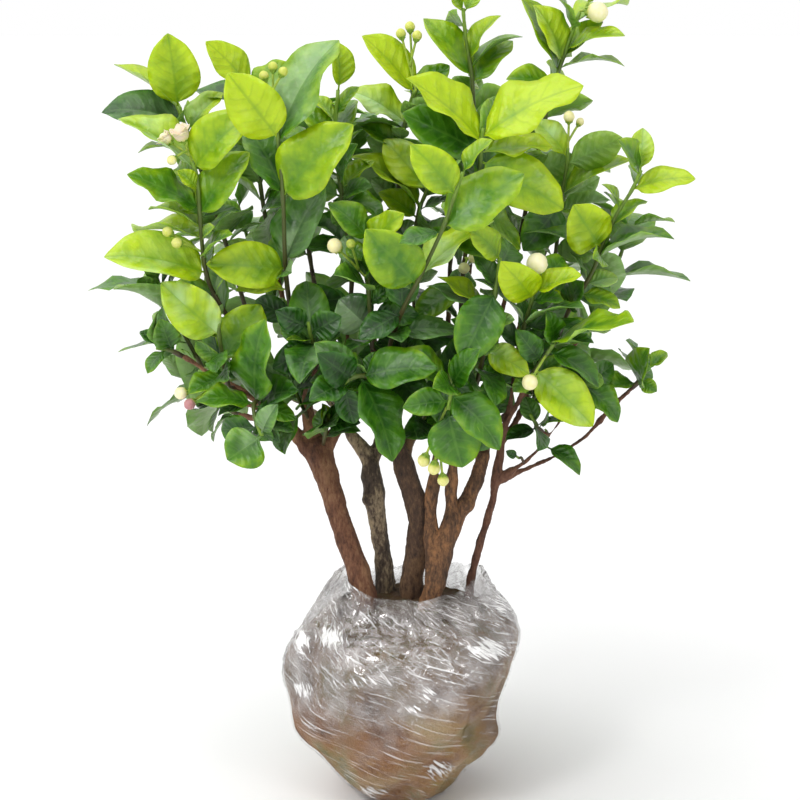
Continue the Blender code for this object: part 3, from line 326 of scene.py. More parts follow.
SPROUTS = (
    ShootPlan("sprout_left_fork", ((309, 424, -6), (308, 420, -8), (300, 402, -20), (292, 384, -28))),
    ShootPlan("sprout_left_crown",
        ((322, 448, -9), (323, 444, -13), (327, 426, -22), (329, 414, -24)),
        (),
        (SmallLeaf((325, 434), (321, 404), 10, -4, 0.62), SmallLeaf((326, 428), (352, 400), 16, -6, 0.2)),
    ),
    ShootPlan("sprout_left_inner", ((347, 418, -3), (349, 414, -6), (354, 402, -12), (355, 386, -16))),
    ShootPlan("sprout_rough_low", ((340, 410, 20), (337, 406, 16), (326, 390, 6), (316, 372, -2))),
    ShootPlan("sprout_rough_high", ((384, 392, 29), (387, 388, 24), (398, 368, 10), (404, 350, 0))),
    ShootPlan("sprout_middle_left", ((391, 422, -9), (387, 418, -14), (379, 404, -27), (376, 390, -35))),
    ShootPlan("sprout_middle_right", ((414, 430, 4), (418, 426, 0), (430, 408, -12), (440, 392, -18))),
    ShootPlan("sprout_right_inner", ((470, 440, 14), (466, 436, 10), (454, 424, 2), (446, 408, -4))),
    ShootPlan("sprout_right_limb", ((488, 428, 8), (490, 424, 3), (493, 404, -10), (493, 384, -20))),
    ShootPlan("sprout_right_back", ((458, 412, 26), (456, 408, 30), (450, 386, 40), (444, 364, 48))),
    ShootPlan("sprout_thin_limb", ((520, 415, 6), (524, 411, 2), (536, 394, -8), (544, 376, -14))),
)
TWIGLETS = (
    ShootPlan("twiglet_low",
        ((538, 450, -10), (539, 449, -11), (544, 447, -13), (548, 447, -14)),
        (),
        (SmallLeaf((546, 447), (582, 472), 17, -6, 0.36),),
    ),
    ShootPlan("twiglet_inner",
        ((524, 463, -8), (523, 461, -9), (519, 458, -11), (516, 456, -12)),
        (),
        (SmallLeaf((518, 458), (506, 451), 9, -3, 0.25),),
    ),
    ShootPlan("twiglet_upper",
        ((549, 436, -12), (548, 434, -13), (546, 431, -15), (545, 429, -15)),
        (),
        (SmallLeaf((546, 430), (534, 410), 15, -3, 0.4),),
    ),
)


@dataclass(frozen=True)
class FrontView:
    """The camera's view, which the bush is laid out in."""

    distance: float = 1150 * MM
    rise: float = math.radians(12)
    aim: tuple[float, float, float] = (-1.2 * MM, 0.0, 257.5 * MM)
    step: float = 0.62 * MM
    middle: float = 400

    @property
    def ahead(self) -> Vector:
        """The way the camera looks."""
        return Vector((0, math.cos(self.rise), -math.sin(self.rise)))

    @property
    def above(self) -> Vector:
        """The way that is up in the view."""
        return Vector((0, math.sin(self.rise), math.cos(self.rise)))

    @property
    def eye(self) -> Vector:
        """Where the camera stands."""
        return Vector(self.aim) - self.ahead * self.distance

    def point(self, across: float, down: float, back: float) -> Vector:
        """The point that shows at a place of the view.

        Args:
            across: Steps from the view's left edge.
            down: Steps from its top edge.
            back: How far back the point lies, in millimetres.

        Returns:
            The point in metres.
        """
        ray = self.ahead * self.distance + self.above * ((self.middle - down) * self.step)
        ray.x += (across - self.middle) * self.step
        return self.eye + ray * ((back * MM - self.eye.y) / ray.y)

    def place(self, point: Vector) -> tuple[float, float]:
        """The place of the view, in steps across and down, where a point shows."""
        seen = point - self.eye
        scale = self.distance / seen.dot(self.ahead) / self.step
        return self.middle + seen.x * scale, self.middle - seen.dot(self.above) * scale

    def toward_eye(self, point: Vector) -> Vector:
        """The way from a point to the camera."""
        return (self.eye - point).normalized()


VIEW = FrontView()


SMOOTH = {"interpolation_type": "SMOOTHSTEP"}
BLEND = {"out": 2, "data_type": "RGBA"}


def linear(code: str) -> tuple[float, float, float, float]:
    """The linear colour of an sRGB hex code."""
    shares = [int(code[i : i + 2], 16) / 255 for i in (1, 3, 5)]
    bright = [s / 12.92 if s <= 0.04045 else ((s + 0.055) / 1.055) ** 2.4 for s in shares]
    return (*bright, 1.0)


def add_node(
    tree: NodeTree, kind: str, *values: object, out: int | str = 0, **settings: object
) -> NodeSocket:
    """Adds a shader node.

    Args:
        tree: The material's node tree.
        kind: The node's type name, without its common start.
        values: The inputs in turn, each a value or a socket, or one table of them by name or number.
        out: The name or number of the output that is handed back.
        settings: The node's own settings. stops gives a colour ramp's places and hex codes.

    Returns:
        The output.
    """
    made = tree.nodes.new("ShaderNode" + kind)
    stops = settings.pop("stops", ())
    for name, value in settings.items():
        setattr(made, name, value)
    for number, (place, code) in enumerate(stops):
        ramp = made.color_ramp.elements
        stop = ramp[number] if number < len(ramp) else ramp.new(place)
        stop.position = place
        stop.color = linear(code)
    inputs = values[0] if values and isinstance(values[0], dict) else dict(enumerate(values))
    for name, value in inputs.items():
        if isinstance(value, NodeSocket):
            tree.links.new(value, made.inputs[name])
        else:
            made.inputs[name].default_value = value
    return made.outputs[out]


@dataclass(frozen=True)
class Finish:
    """What every finish shares: its name, how it starts and the patterns that it is mixed from."""

    name: str

    def start(self, values: dict) -> tuple[Material, NodeTree, Node]:
        """Makes the material with its shader's plain values.

        Args:
            values: The values of the Principled shader's own sockets.

        Returns:
            The material, its node tree and its shader.
        """
        material = bpy.data.materials.new(self.name)
        material.use_nodes = True
        shader = material.node_tree.nodes["Principled BSDF"]
        for name, value in values.items():
            shader.inputs[name].default_value = value
        return material, material.node_tree, shader

    @staticmethod
    def patches(tree: NodeTree, size: float, tall: float = 1.0, **more: float) -> NodeSocket:
        """Noise on the object's own coordinates.

        Args:
            tree: The node tree.
            size: The size of a patch in metres.
            tall: How many times taller than wide it is.
            more: The noise node's inputs, by name.

        Returns:
            The noise's value.
        """
        place = add_node(tree, "TexCoord", out="Object")
        if tall != 1.0:
            place = add_node(tree, "Mapping", {"Vector": place, "Scale": (1, 1, 1 / tall)})
        return add_node(tree, "TexNoise", {"Vector": place, "Scale": 1 / size} | more, out="Fac")

    @staticmethod
    def vary(
        tree: NodeTree,
        pattern: NodeSocket,
        middle: float,
        amount: float,
        base: NodeSocket,
    ) -> NodeSocket:
        """Moves a value up and down with a pattern.

        Args:
            tree: The node tree.
            pattern: The pattern.
            middle: Its value where nothing changes.
            amount: How far it moves the value.
            base: The value.

        Returns:
            The new value.
        """
        above = add_node(tree, "Math", pattern, middle, operation="SUBTRACT")
        return add_node(tree, "Math", above, amount, base, operation="MULTIPLY_ADD")

    @staticmethod
    def looks(tree: NodeTree) -> tuple:
        """The four values of the piece's look attribute."""
        look = add_node(tree, "Attribute", attribute_name="look").node.outputs
        return (*add_node(tree, "SeparateColor", look["Color"]).node.outputs, look["Alpha"])


@dataclass(frozen=True)
class LeafFinish(Finish):
    """A jasmine leaf: a waxy cuticle over soft tissue, so a satin shine and quilting between its veins, and on
    some leaves a pale reflection painted into the colour.
    """

    side_veins: float = 6.5
    vein_rise: float = 0.20
    patch: float = 9 * MM
    grain: float = 0.8 * MM
    tones: tuple = (
        (0.0, "#0f3206"), (0.25, "#205206"), (0.5, "#487c08"), (0.75, "#86aa0b"), (1.0, "#b2cc0e")
    )
    vein_tones: tuple = ((0.0, "#345f22"), (0.4, "#5b882a"), (0.7, "#6d9a14"), (1.0, "#8cac10"))
    underside: str = "#9cc06a"
    # The pale colour of the painted reflection.
    painted_reflection: str = "#bcdca4"

    def veins(self, tree: NodeTree, wobble: NodeSocket) -> tuple:
        """The leaf's net, read from its own map: across in U and along in V.

        Args:
            tree: The node tree.
            wobble: A noise that makes the veins uneven.

        Returns:
            The vein mask, the quilting's height, the places along the leaf and out from its midrib, its half.
        """
        spot = add_node(tree, "UVMap", uv_map="leaf_map")
        across, along, _ = add_node(tree, "SeparateXYZ", spot).node.outputs
        out = add_node(tree, "Math", across, 2.0, -1.0, operation="MULTIPLY_ADD")
        out = add_node(tree, "Math", out, operation="ABSOLUTE")
        rise = add_node(tree, "Math", out, 1.2, operation="POWER")
        level = add_node(tree, "Math", rise, -self.vein_rise, along, operation="MULTIPLY_ADD")
        level = add_node(tree, "Math", wobble, 0.12, level, operation="MULTIPLY_ADD")
        phase = add_node(tree, "Math", level, self.side_veins, operation="MULTIPLY")
        phase = add_node(tree, "Math", phase, operation="FRACT")
        gap = add_node(tree, "Math", phase, 0.5, operation="SUBTRACT")
        gap = add_node(tree, "Math", gap, operation="ABSOLUTE")
        thin = 0.6
        for value, clear, full in ((gap, 0.15, 0.02), (out, 0.92, 0.55), (along, 0.9, 0.7)):
            share = add_node(tree, "MapRange", value, clear, full, **SMOOTH)
            thin = add_node(tree, "Math", share, thin, operation="MULTIPLY")
        rib = add_node(tree, "MapRange", out, 0.09, 0.02, **SMOOTH)
        mask = add_node(tree, "Math", thin, rib, operation="MAXIMUM")
        puffed = add_node(tree, "Math", gap, 3.0, operation="MULTIPLY")
        inner = add_node(tree, "Math", out, 4.0, operation="MULTIPLY")
        quilt = add_node(tree, "Math", puffed, inner, operation="MINIMUM")
        half = add_node(tree, "Math", across, 0.5, operation="GREATER_THAN")
        return mask, quilt, along, out, half

    def build(self) -> Material:
        """The leaf's material. The look attribute gives its tone, how much pale reflection is painted on it, a
        chance that picks the half where that is strongest, and its upper side.

        Returns:
            The material.
        """
        plain = {
            "Subsurface Weight": 0.22,
            "Subsurface Radius": (0.45, 1.0, 0.12),
            "Subsurface Scale": 0.7 * MM,
            "Specular IOR Level": 0.36,
            "Coat Weight": 0.10,
            "Coat Roughness": 0.20,
        }
        material, tree, shader = self.start(plain)
        cloud = self.patches(tree, self.patch, Detail=3.0)
        mask, quilt, along, out, half = self.veins(tree, cloud)
        tone, reflection_amount, chance, top = self.looks(tree)
        for pattern, middle, amount in ((cloud, 0.5, 0.6), (along, 0.45, 0.18), (out, 0.4, 0.28)):
            tone = self.vary(tree, pattern, middle, amount, tone)
        flesh = add_node(tree, "ValToRGB", tone, stops=self.tones)
        net = add_node(tree, "ValToRGB", tone, stops=self.vein_tones)
        share = add_node(tree, "Math", mask, 0.55, operation="MULTIPLY")
        colour = add_node(tree, "Mix", {0: share, 6: flesh, 7: net}, **BLEND)
        share = add_node(tree, "Math", top, -0.42, 0.42, operation="MULTIPLY_ADD")
        colour = add_node(tree, "Mix", {0: share, 6: colour, 7: linear(self.underside)}, **BLEND)
        # Painted reflection: a pale sky reflection painted into the colour in broad patches, stronger on one
        # half of the leaf, as much as the look gives.
        broad = self.vary(tree, quilt, 0.5, 0.03, self.patches(tree, 3 * self.patch, Detail=2.0))
        share = add_node(tree, "MapRange", broad, 0.40, 0.62, **SMOOTH)
        other = add_node(tree, "Math", chance, 0.5, operation="GREATER_THAN")
        reflecting_half = add_node(tree, "Math", half, other, operation="SUBTRACT")
        reflecting_half = add_node(tree, "Math", reflecting_half, operation="ABSOLUTE")
        reflecting_half = add_node(tree, "Math", reflecting_half, 0.65, 0.35, operation="MULTIPLY_ADD")
        for factor in (reflection_amount, reflecting_half, 0.65):
            share = add_node(tree, "Math", share, factor, operation="MULTIPLY")
        colour = add_node(tree, "Mix", {0: share, 6: colour, 7: linear(self.painted_reflection)}, **BLEND)
        tree.links.new(colour, shader.inputs["Base Color"])
        rough = add_node(tree, "MapRange", cloud, 0.3, 0.7, 0.30, 0.46)
        tree.links.new(rough, shader.inputs["Roughness"])
        fine = self.patches(tree, self.grain, Detail=2.0)
        height = add_node(tree, "Math", fine, 0.18, quilt, operation="MULTIPLY_ADD")
        dents = self.patches(tree, 0.5 * self.patch, Detail=1.0)
        height = add_node(tree, "Math", dents, 2.6, height, operation="MULTIPLY_ADD")
        bump = add_node(tree, "Bump", {"Height": height, "Strength": 0.6, "Distance": 0.45 * MM})
        tree.links.new(bump, shader.inputs["Normal"])
        return material


@dataclass(frozen=True)
class StemFinish(Finish):
    """A green jasmine stem: satin, brown where it is old and fresh green at its tip."""

    streak: float = 1.2 * MM
    tones: tuple = ((0.0, "#3d2b1a"), (0.4, "#443e1a"), (0.75, "#4f6420"), (1.0, "#7a9e2a"))

    def build(self) -> Material:
        """The stem's material, which reads how young it is from the look attribute.

        Returns:
            The material.
        """
        material, tree, shader = self.start({"Roughness": 0.5})
        young, *_ = self.looks(tree)
        streaks = self.patches(tree, self.streak, 6.0, Detail=3.0)
        young = self.vary(tree, streaks, 0.5, 0.4, young)
        tree.links.new(add_node(tree, "ValToRGB", young, stops=self.tones), shader.inputs["Base Color"])
        bump = add_node(tree, "Bump", {"Height": streaks, "Strength": 0.3, "Distance": 0.3 * MM})
        tree.links.new(bump, shader.inputs["Normal"])
        return material


@dataclass(frozen=True)
class BarkFinish(Finish):
    """Old jasmine bark: dull, cracked along the stem, reddish brown under a grey skin with pale scuffs."""

    deep: str
    body: str
    pale: str
    strip: float = 1.8 * MM
    patch: float = 12 * MM
    grit: float = 0.9 * MM

    def build(self) -> Material:
        """The bark's material.

        Returns:
            The material.
        """
        material, tree, shader = self.start({"Roughness": 0.86})
        strips = self.patches(tree, self.strip, 2.6, Detail=7.0, Roughness=0.7)
        broad = self.patches(tree, self.patch, 2.2, Detail=4.0)
        share = self.vary(tree, broad, 0.5, 0.9, strips)
        stops = ((0.18, self.deep), (0.46, self.body), (0.74, self.pale))
        colour = add_node(tree, "ValToRGB", share, stops=stops)
        crack = add_node(tree, "MapRange", strips, 0.42, 0.30, **SMOOTH)
        crack = add_node(tree, "Math", crack, 0.7, operation="MULTIPLY")
        colour = add_node(tree, "Mix", {0: crack, 6: colour, 7: linear(self.deep)}, **BLEND)
        tree.links.new(colour, shader.inputs["Base Color"])
        grit = self.patches(tree, self.grit, Detail=5.0)
        height = add_node(tree, "Math", grit, 0.35, strips, operation="MULTIPLY_ADD")
        bump = add_node(tree, "Bump", {"Height": height, "Strength": 0.9, "Distance": 1.0 * MM})
        tree.links.new(bump, shader.inputs["Normal"])
        return material


@dataclass(frozen=True)
class PetalFinish(Finish):
    """A jasmine bud: matt waxy petals, cream with a green base and a touch of pink on some."""

    cloud: float = 2.5 * MM
    tones: tuple = ((0.0, "#f8f1cd"), (0.35, "#efe8a0"), (0.7, "#cbd25a"), (1.0, "#88ac38"))
    flush: str = "#b3667e"

    def build(self) -> Material:
        """The bud's material. The look attribute gives its greenness and its pink.

        Returns:
            The material.
        """
        plain = {
            "Roughness": 0.55,
            "Subsurface Weight": 0.35,
            "Subsurface Radius": (1.0, 0.9, 0.5),
            "Subsurface Scale": 1.2 * MM,
        }
        material, tree, shader = self.start(plain)
        green, pink, *_ = self.looks(tree)
        cloud = self.patches(tree, self.cloud, Detail=2.0)
        flesh = add_node(tree, "ValToRGB", self.vary(tree, cloud, 0.5, 0.5, green), stops=self.tones)
        colour = add_node(tree, "Mix", {0: pink, 6: flesh, 7: linear(self.flush)}, **BLEND)
        tree.links.new(colour, shader.inputs["Base Color"])
        bump = add_node(tree, "Bump", {"Height": cloud, "Strength": 0.4, "Distance": 0.5 * MM})
        tree.links.new(bump, shader.inputs["Normal"])
        return material


@dataclass(frozen=True)
class SoilFinish(Finish):
    """Damp nursery soil: crumbs of clay and peat, matt, with red, olive and tan parts and a dark top."""

    crumb: float = 2.2 * MM
    clod: float = 26 * MM
    dark_from: float = 116 * MM
    dark_to: float = 127 * MM
    earths: tuple = (
        (0.24, "#3f2a1a"), (0.40, "#7a5230"), (0.52, "#9a7142"), (0.64, "#8b7844"), (0.80, "#5f6446")
    )
    tints: tuple = ("#8c603f", "#675632", "#b1996e")
    dark: str = "#33261b"

    def build(self) -> Material:
        """The soil's material. The look attribute gives how red, olive and tan it is.

        Returns:
            The material.
        """
        material, tree, shader = self.start({"Roughness": 0.95})
        broad = self.patches(tree, self.clod, Detail=3.0)
        crumbs = self.patches(tree, self.crumb, Detail=7.0, Roughness=0.7)
        share = self.vary(tree, crumbs, 0.5, 0.55, broad)
        colour = add_node(tree, "ValToRGB", share, stops=self.earths)
        uneven = self.patches(tree, 0.5 * self.clod, Detail=5.0)
        uneven = add_node(tree, "Math", uneven, 2.0, -0.25, operation="MULTIPLY_ADD", use_clamp=True)
        for amount, tint in zip(self.looks(tree), self.tints):
            for factor in (uneven, 0.7):
                amount = add_node(tree, "Math", amount, factor, operation="MULTIPLY")
            colour = add_node(tree, "Mix", {0: amount, 6: colour, 7: linear(tint)}, **BLEND)
        place = add_node(tree, "TexCoord", out="Object")
        height = add_node(tree, "SeparateXYZ", place, out="Z")
        top = add_node(tree, "MapRange", height, self.dark_from, self.dark_to, **SMOOTH)
        top = add_node(tree, "Math", top, 0.8, operation="MULTIPLY")
        colour = add_node(tree, "Mix", {0: top, 6: colour, 7: linear(self.dark)}, **BLEND)
        tree.links.new(colour, shader.inputs["Base Color"])
        bump = add_node(tree, "Bump", {"Height": crumbs, "Strength": 0.9, "Distance": 1.5 * MM})
        tree.links.new(bump, shader.inputs["Normal"])
        return material


@dataclass(frozen=True)
class FilmFinish(Finish):
    """Clear stretch film in several layers: shinier than one sheet, and milky where it is creased. White
    streaks and patches of painted highlight are mixed into its colour and clearness.
    """

    wrinkle: float = 2.6 * MM
    layer: float = 15 * MM
    lean: float = math.radians(-19)
    streak: tuple = (30.8 * MM, 1.4 * MM, 1)
    pull: float = math.radians(-40)
    stroke: tuple = (13 * MM, 1.5 * MM, 1)
    layers: tuple = ((0.36, "#544845"), (0.5, "#887c78"), (0.66, "#bdb4b0"))
    # The white of the milky creases and of the painted highlights.
    white: str = "#fbf9f8"

    @staticmethod
    def drawn(tree: NodeTree, turn: float, size: tuple, **more: float) -> NodeSocket:
        """Noise drawn out on the film's own map.

        Args:
            tree: The node tree.
            turn: The way that its patches run, as an angle.
            size: How long, wide and deep a patch is.
            more: The noise node's inputs, by name.

        Returns:
            The noise's value.
        """
        spot = add_node(tree, "UVMap", uv_map="wrap_map")
        inputs = {"Vector": spot, "Rotation": (0, 0, turn), "Scale": size}
        turned = add_node(tree, "Mapping", inputs, vector_type="TEXTURE")
        return add_node(tree, "TexNoise", {"Vector": turned, "Scale": 1.0} | more, out="Fac")

    def build(self) -> Material:
        """The film's material. The look attribute gives how hazy and crumpled the film is, and how strong its
        painted highlight is.

        Returns:
            The material.
        """
        plain = {"IOR": 2.4, "Coat Weight": 1.0, "Coat Roughness": 0.05, "Coat IOR": 1.9}
        material, tree, shader = self.start(plain)
        streaks = self.drawn(tree, self.lean, self.streak, Detail=3.0, Distortion=0.5)
        strokes = self.drawn(tree, self.pull, self.stroke, Detail=4.0, Distortion=0.8)
        crumple = self.patches(tree, self.wrinkle, Detail=4.0, Distortion=1.4)
        broad = self.patches(tree, self.layer, Detail=3.0)
        # The look's third value is the strength of the painted highlight.
        hazy, crumpled, pulled_fold_and_highlight, _ = self.looks(tree)
        # Creased lines: partly milky creased film, partly painted highlight streaks.
        lines = add_node(tree, "MapRange", streaks, 0.57, 0.70, **SMOOTH)
        for pattern, clear, full, amount in ((crumple, 0.58, 0.72, 1.0), (strokes, 0.57, 0.69, 0.8)):
            mark = add_node(tree, "MapRange", pattern, clear, full, **SMOOTH)
            for factor in (crumpled, amount):
                mark = add_node(tree, "Math", mark, factor, operation="MULTIPLY")
            lines = add_node(tree, "Math", lines, mark, operation="MAXIMUM")
        # Painted highlight: white patches broken into strokes where the look gives them, which also make the
        # film less clear.
        edge = add_node(tree, "Math", pulled_fold_and_highlight, 0.30, strokes, operation="MULTIPLY_ADD")
        white = add_node(tree, "MapRange", edge, 0.62, 0.74, **SMOOTH)
        for factor in (add_node(tree, "Math", pulled_fold_and_highlight, 0.2, operation="MINIMUM"), 5.0):
            white = add_node(tree, "Math", white, factor, operation="MULTIPLY")
        cloudy = add_node(tree, "Math", broad, 0.42, operation="SUBTRACT")
        cloudy = add_node(tree, "Math", cloudy, crumpled, operation="MULTIPLY")
        haze_and_highlight = add_node(tree, "Math", cloudy, 0.8, hazy, operation="MULTIPLY_ADD")
        haze_and_highlight = add_node(tree, "Math", lines, 0.24, haze_and_highlight, operation="MULTIPLY_ADD")
        haze_and_highlight = add_node(tree, "Math", white, 0.62, haze_and_highlight, operation="MULTIPLY_ADD", use_clamp=True)
        tree.links.new(haze_and_highlight, shader.inputs["Alpha"])
        # The creased lines and the painted highlights whiten the colour.
        pale = add_node(tree, "Math", lines, white, operation="MAXIMUM")
        layers = add_node(tree, "ValToRGB", broad, stops=self.layers)
        colour = add_node(tree, "Mix", {0: pale, 6: layers, 7: linear(self.white)}, **BLEND)
        tree.links.new(colour, shader.inputs["Base Color"])
        rough = add_node(tree, "MapRange", broad, 0.3, 0.7, 0.06, 0.20)
        tree.links.new(rough, shader.inputs["Roughness"])
        relief = add_node(tree, "Math", crumple, crumpled, operation="MULTIPLY")
        relief = add_node(tree, "Math", relief, 1.1, streaks, operation="MULTIPLY_ADD")
        bump = add_node(tree, "Bump", {"Height": relief, "Strength": 0.9, "Distance": 1.3 * MM})
        tree.links.new(bump, shader.inputs["Normal"])
        return material


@dataclass(frozen=True)
class FloorFinish(Finish):
    """A pale matt floor, so that it shows no reflection."""

    def build(self) -> Material:
        """The floor's material."""
        material, _, _ = self.start({"Base Color": linear("#fdfdfd"), "Roughness": 0.9})
        return material


def smooth_path(points: list[Vector], steps: int = 5) -> list[Vector]:
    """A smooth path through some points.

    Args:
        points: The points that it passes.
        steps: The pieces that each stretch is cut into.

    Returns:
        The path's points.
    """
    ends = [points[0] * 2 - points[1], *points, points[-1] * 2 - points[-2]]
    path = []
    for a, b, c, d in zip(ends, ends[1:], ends[2:], ends[3:]):
        for step in range(steps):
            t = step / steps
            bend = (a * 2 - b * 5 + c * 4 - d) * t**2 + (b * 3 - a - c * 3 + d) * t**3
            path.append((b * 2 + (c - a) * t + bend) / 2)
    return [*path, points[-1].copy()]


def sweep(bm: BMesh, path: list[Vector], radii: list[float], sides: int) -> list[list]:
    """Draws a circle out along a path and closes both ends.

    Args:
        bm: The mesh that gains the tube.
        path: The tube's middle line.
        radii: Its radius at each point.
        sides: Its number of sides.

    Returns:
        The tube's rings of vertices.
    """
    ring = bmesh.ops.create_circle(bm, segments=sides, radius=1.0)["verts"]
    edges = list({edge for vert in ring for edge in vert.link_edges})
    first = edges
    rings = []
    before = Matrix.Identity(4)
    last = UP
    turn = Matrix.Identity(3)
    for index, (point, radius) in enumerate(zip(path, radii)):
        way = (path[min(index + 1, len(path) - 1)] - path[max(index - 1, 0)]).normalized()
        turn = last.rotation_difference(way).to_matrix() @ turn
        last = way
        if index:
            grown = bmesh.ops.extrude_edge_only(bm, edges=edges)["geom"]
            ring = [item for item in grown if isinstance(item, BMVert)]
            held = set(ring)
            lines = [item for item in grown if isinstance(item, BMEdge)]
            edges = [item for item in lines if held.issuperset(item.verts)]
        now = Matrix.Translation(point) @ turn.to_4x4() @ Matrix.Scale(radius, 4)
        bmesh.ops.transform(bm, matrix=now @ before.inverted(), verts=ring)
        before = now
        rings.append(ring)
    bmesh.ops.edgeloop_fill(bm, edges=first)
    bmesh.ops.edgeloop_fill(bm, edges=edges)
    return rings


def nearest_on(points: list[Vector], spot: Vector) -> tuple[Vector, Vector]:
    """The point of a path nearest to a spot, and the path's direction there.

    Args:
        points: The path.
        spot: The spot.

    Returns:
        The point and the direction.
    """
    best = None
    for a, b in zip(points, points[1:]):
        run = b - a
        share = min(1.0, max(0.0, (spot - a).dot(run) / run.length_squared))
        found = a + run * share
        gap = (found - spot).length
        if best is None or gap < best[0]:
            best = (gap, found, run.normalized())
    return best[1], best[2]


def walk(points: list[Vector], share: float) -> tuple[Vector, Vector]:
    """The point and the direction at a share of a path's length.

    Args:
        points: The path.
        share: The share, from 0 at its start to 1 at its end.

    Returns:
        The point and the direction.
    """
    spans = [(b - a).length for a, b in zip(points, points[1:])]
    left = share * sum(spans)
    for a, b, span in zip(points, points[1:], spans):
        if left <= span:
            return a.lerp(b, left / span), (b - a).normalized()
        left -= span
    return points[-1].copy(), (points[-1] - points[-2]).normalized()


def ease(low: float, high: float, value: float) -> float:
    """A smooth step from 0 at low to 1 at high."""
    share = min(1.0, max(0.0, (value - low) / (high - low)))
    return share * share * (3 - 2 * share)


def finish_piece(
    bm: BMesh, name: str, materials: list[Material], nodes: list[str]
) -> Object:
    """Makes a mesh a piece of the model, smooth, with its materials, and hides the nodes that it stands for.

    Args:
        bm: The mesh, which is freed.
        name: The piece's name.
        materials: Its materials, in the order of the faces' numbers.
        nodes: The CAD nodes that it replaces.

    Returns:
        The piece.
    """
    for face in bm.faces:
        face.smooth = True
    mesh = bpy.data.meshes.new(name)
    bm.to_mesh(mesh)
    bm.free()
    for material in materials:
        mesh.materials.append(material)
    piece = bpy.data.objects.new(name, mesh)
    bpy.context.scene.collection.objects.link(piece)
    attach(piece, "root")
    if nodes:
        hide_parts(*nodes)
    LOG.info("%s: %d faces", name, len(mesh.polygons))
    return piece


class Blade(NamedTuple):
    """A leaf in space: its base on the stem's axis, its tip, the way its face looks, and its half width."""

    base: Vector
    tip: Vector
    face: Vector
    half: float


class Habit(NamedTuple):
    """How one leaf differs from the plain form: shares of its width or length, and the beats of its edge."""

    ruffle: float = 0.0
    beats: float = 1.0
    phase: float = 0.0
    offset: float = 0.0
    curl: float = 0.0
    sweep: float = 0.0
    fold: float = 0.22
    lean: float = 0.0


@dataclass(frozen=True)
class CadLeaves:
    """Reads the faceted leaves back from a packed leafy node.

    Each is a spike of four faces in front of two rings. A ring has an edge vertex
    on the left and right, and a rib vertex above and below, which lie close together.
    """

    low_station: float = 0.31
    low_width: float = 0.93
    bow: float = 0.07
    shortest: float = 2.5 * MM
    widest_spike: float = math.radians(290)

    def read(self, node: Object) -> list[Blade]:
        """The blades of a node.

        Args:
            node: The node's piece.

        Returns:
            Its blades.
        """
        bm = bmesh.new()
        bm.from_mesh(node.data)
        bmesh.ops.remove_doubles(bm, verts=bm.verts, dist=WELD)
        blades = [self.blade(vert) for vert in bm.verts if self.is_tip(vert)]
        bm.free()
        return blades

    def is_tip(self, vert: BMVert) -> bool:
        """Whether a vertex is the tip of a leaf."""
        if len(vert.link_edges) != 4 or min(edge.calc_length() for edge in vert.link_edges) < self.shortest:
            return False
        return sum(loop.calc_angle() for loop in vert.link_loops) < self.widest_spike

    def blade(self, tip: BMVert) -> Blade:
        """The blade that ends at a tip.

        Args:
            tip: The tip's vertex.

        Returns:
            The blade.
        """
        near = [edge.other_vert(tip) for edge in tip.link_edges]
        pairs = [(a, b) for index, a in enumerate(near) for b in near[index + 1 :]]
        ribs = min(pairs, key=lambda pair: (pair[0].co - pair[1].co).length)
        edges = [vert for vert in near if vert not in ribs]
        lift = (edges[0].co + edges[1].co - ribs[0].co - ribs[1].co) / 2
        face = (ribs[0].co - ribs[1].co).normalized()
        if face.dot(lift) < 0:
            face = -face
        passed = {tip, *edges, *ribs}
        low_ribs = [self.next_rib(rib, passed) for rib in ribs]
        around = [{edge.other_vert(rib) for edge in rib.link_edges} for rib in low_ribs]
        low_edges = list((around[0] & around[1]) - passed)
        spread = max((a.co - b.co).length for a in low_edges for b in low_edges)
        middle = (low_ribs[0].co + low_ribs[1].co) / 2
        length = (tip.co - middle).length / (1 - self.low_station)
        rise = 4 * self.low_station * (1 - self.low_station) * self.bow * length
        along = (tip.co - middle + face * rise) / (1 - self.low_station)
        return Blade(tip.co - along, tip.co.copy(), face, spread / 2 / self.low_width)

    @staticmethod
    def next_rib(rib: BMVert, passed: set) -> BMVert:
        """The rib vertex below this one."""
        below = [edge.other_vert(rib) for edge in rib.link_edges if edge.other_vert(rib) not in passed]
        return max(below, key=lambda vert: (vert.co - rib.co).length)


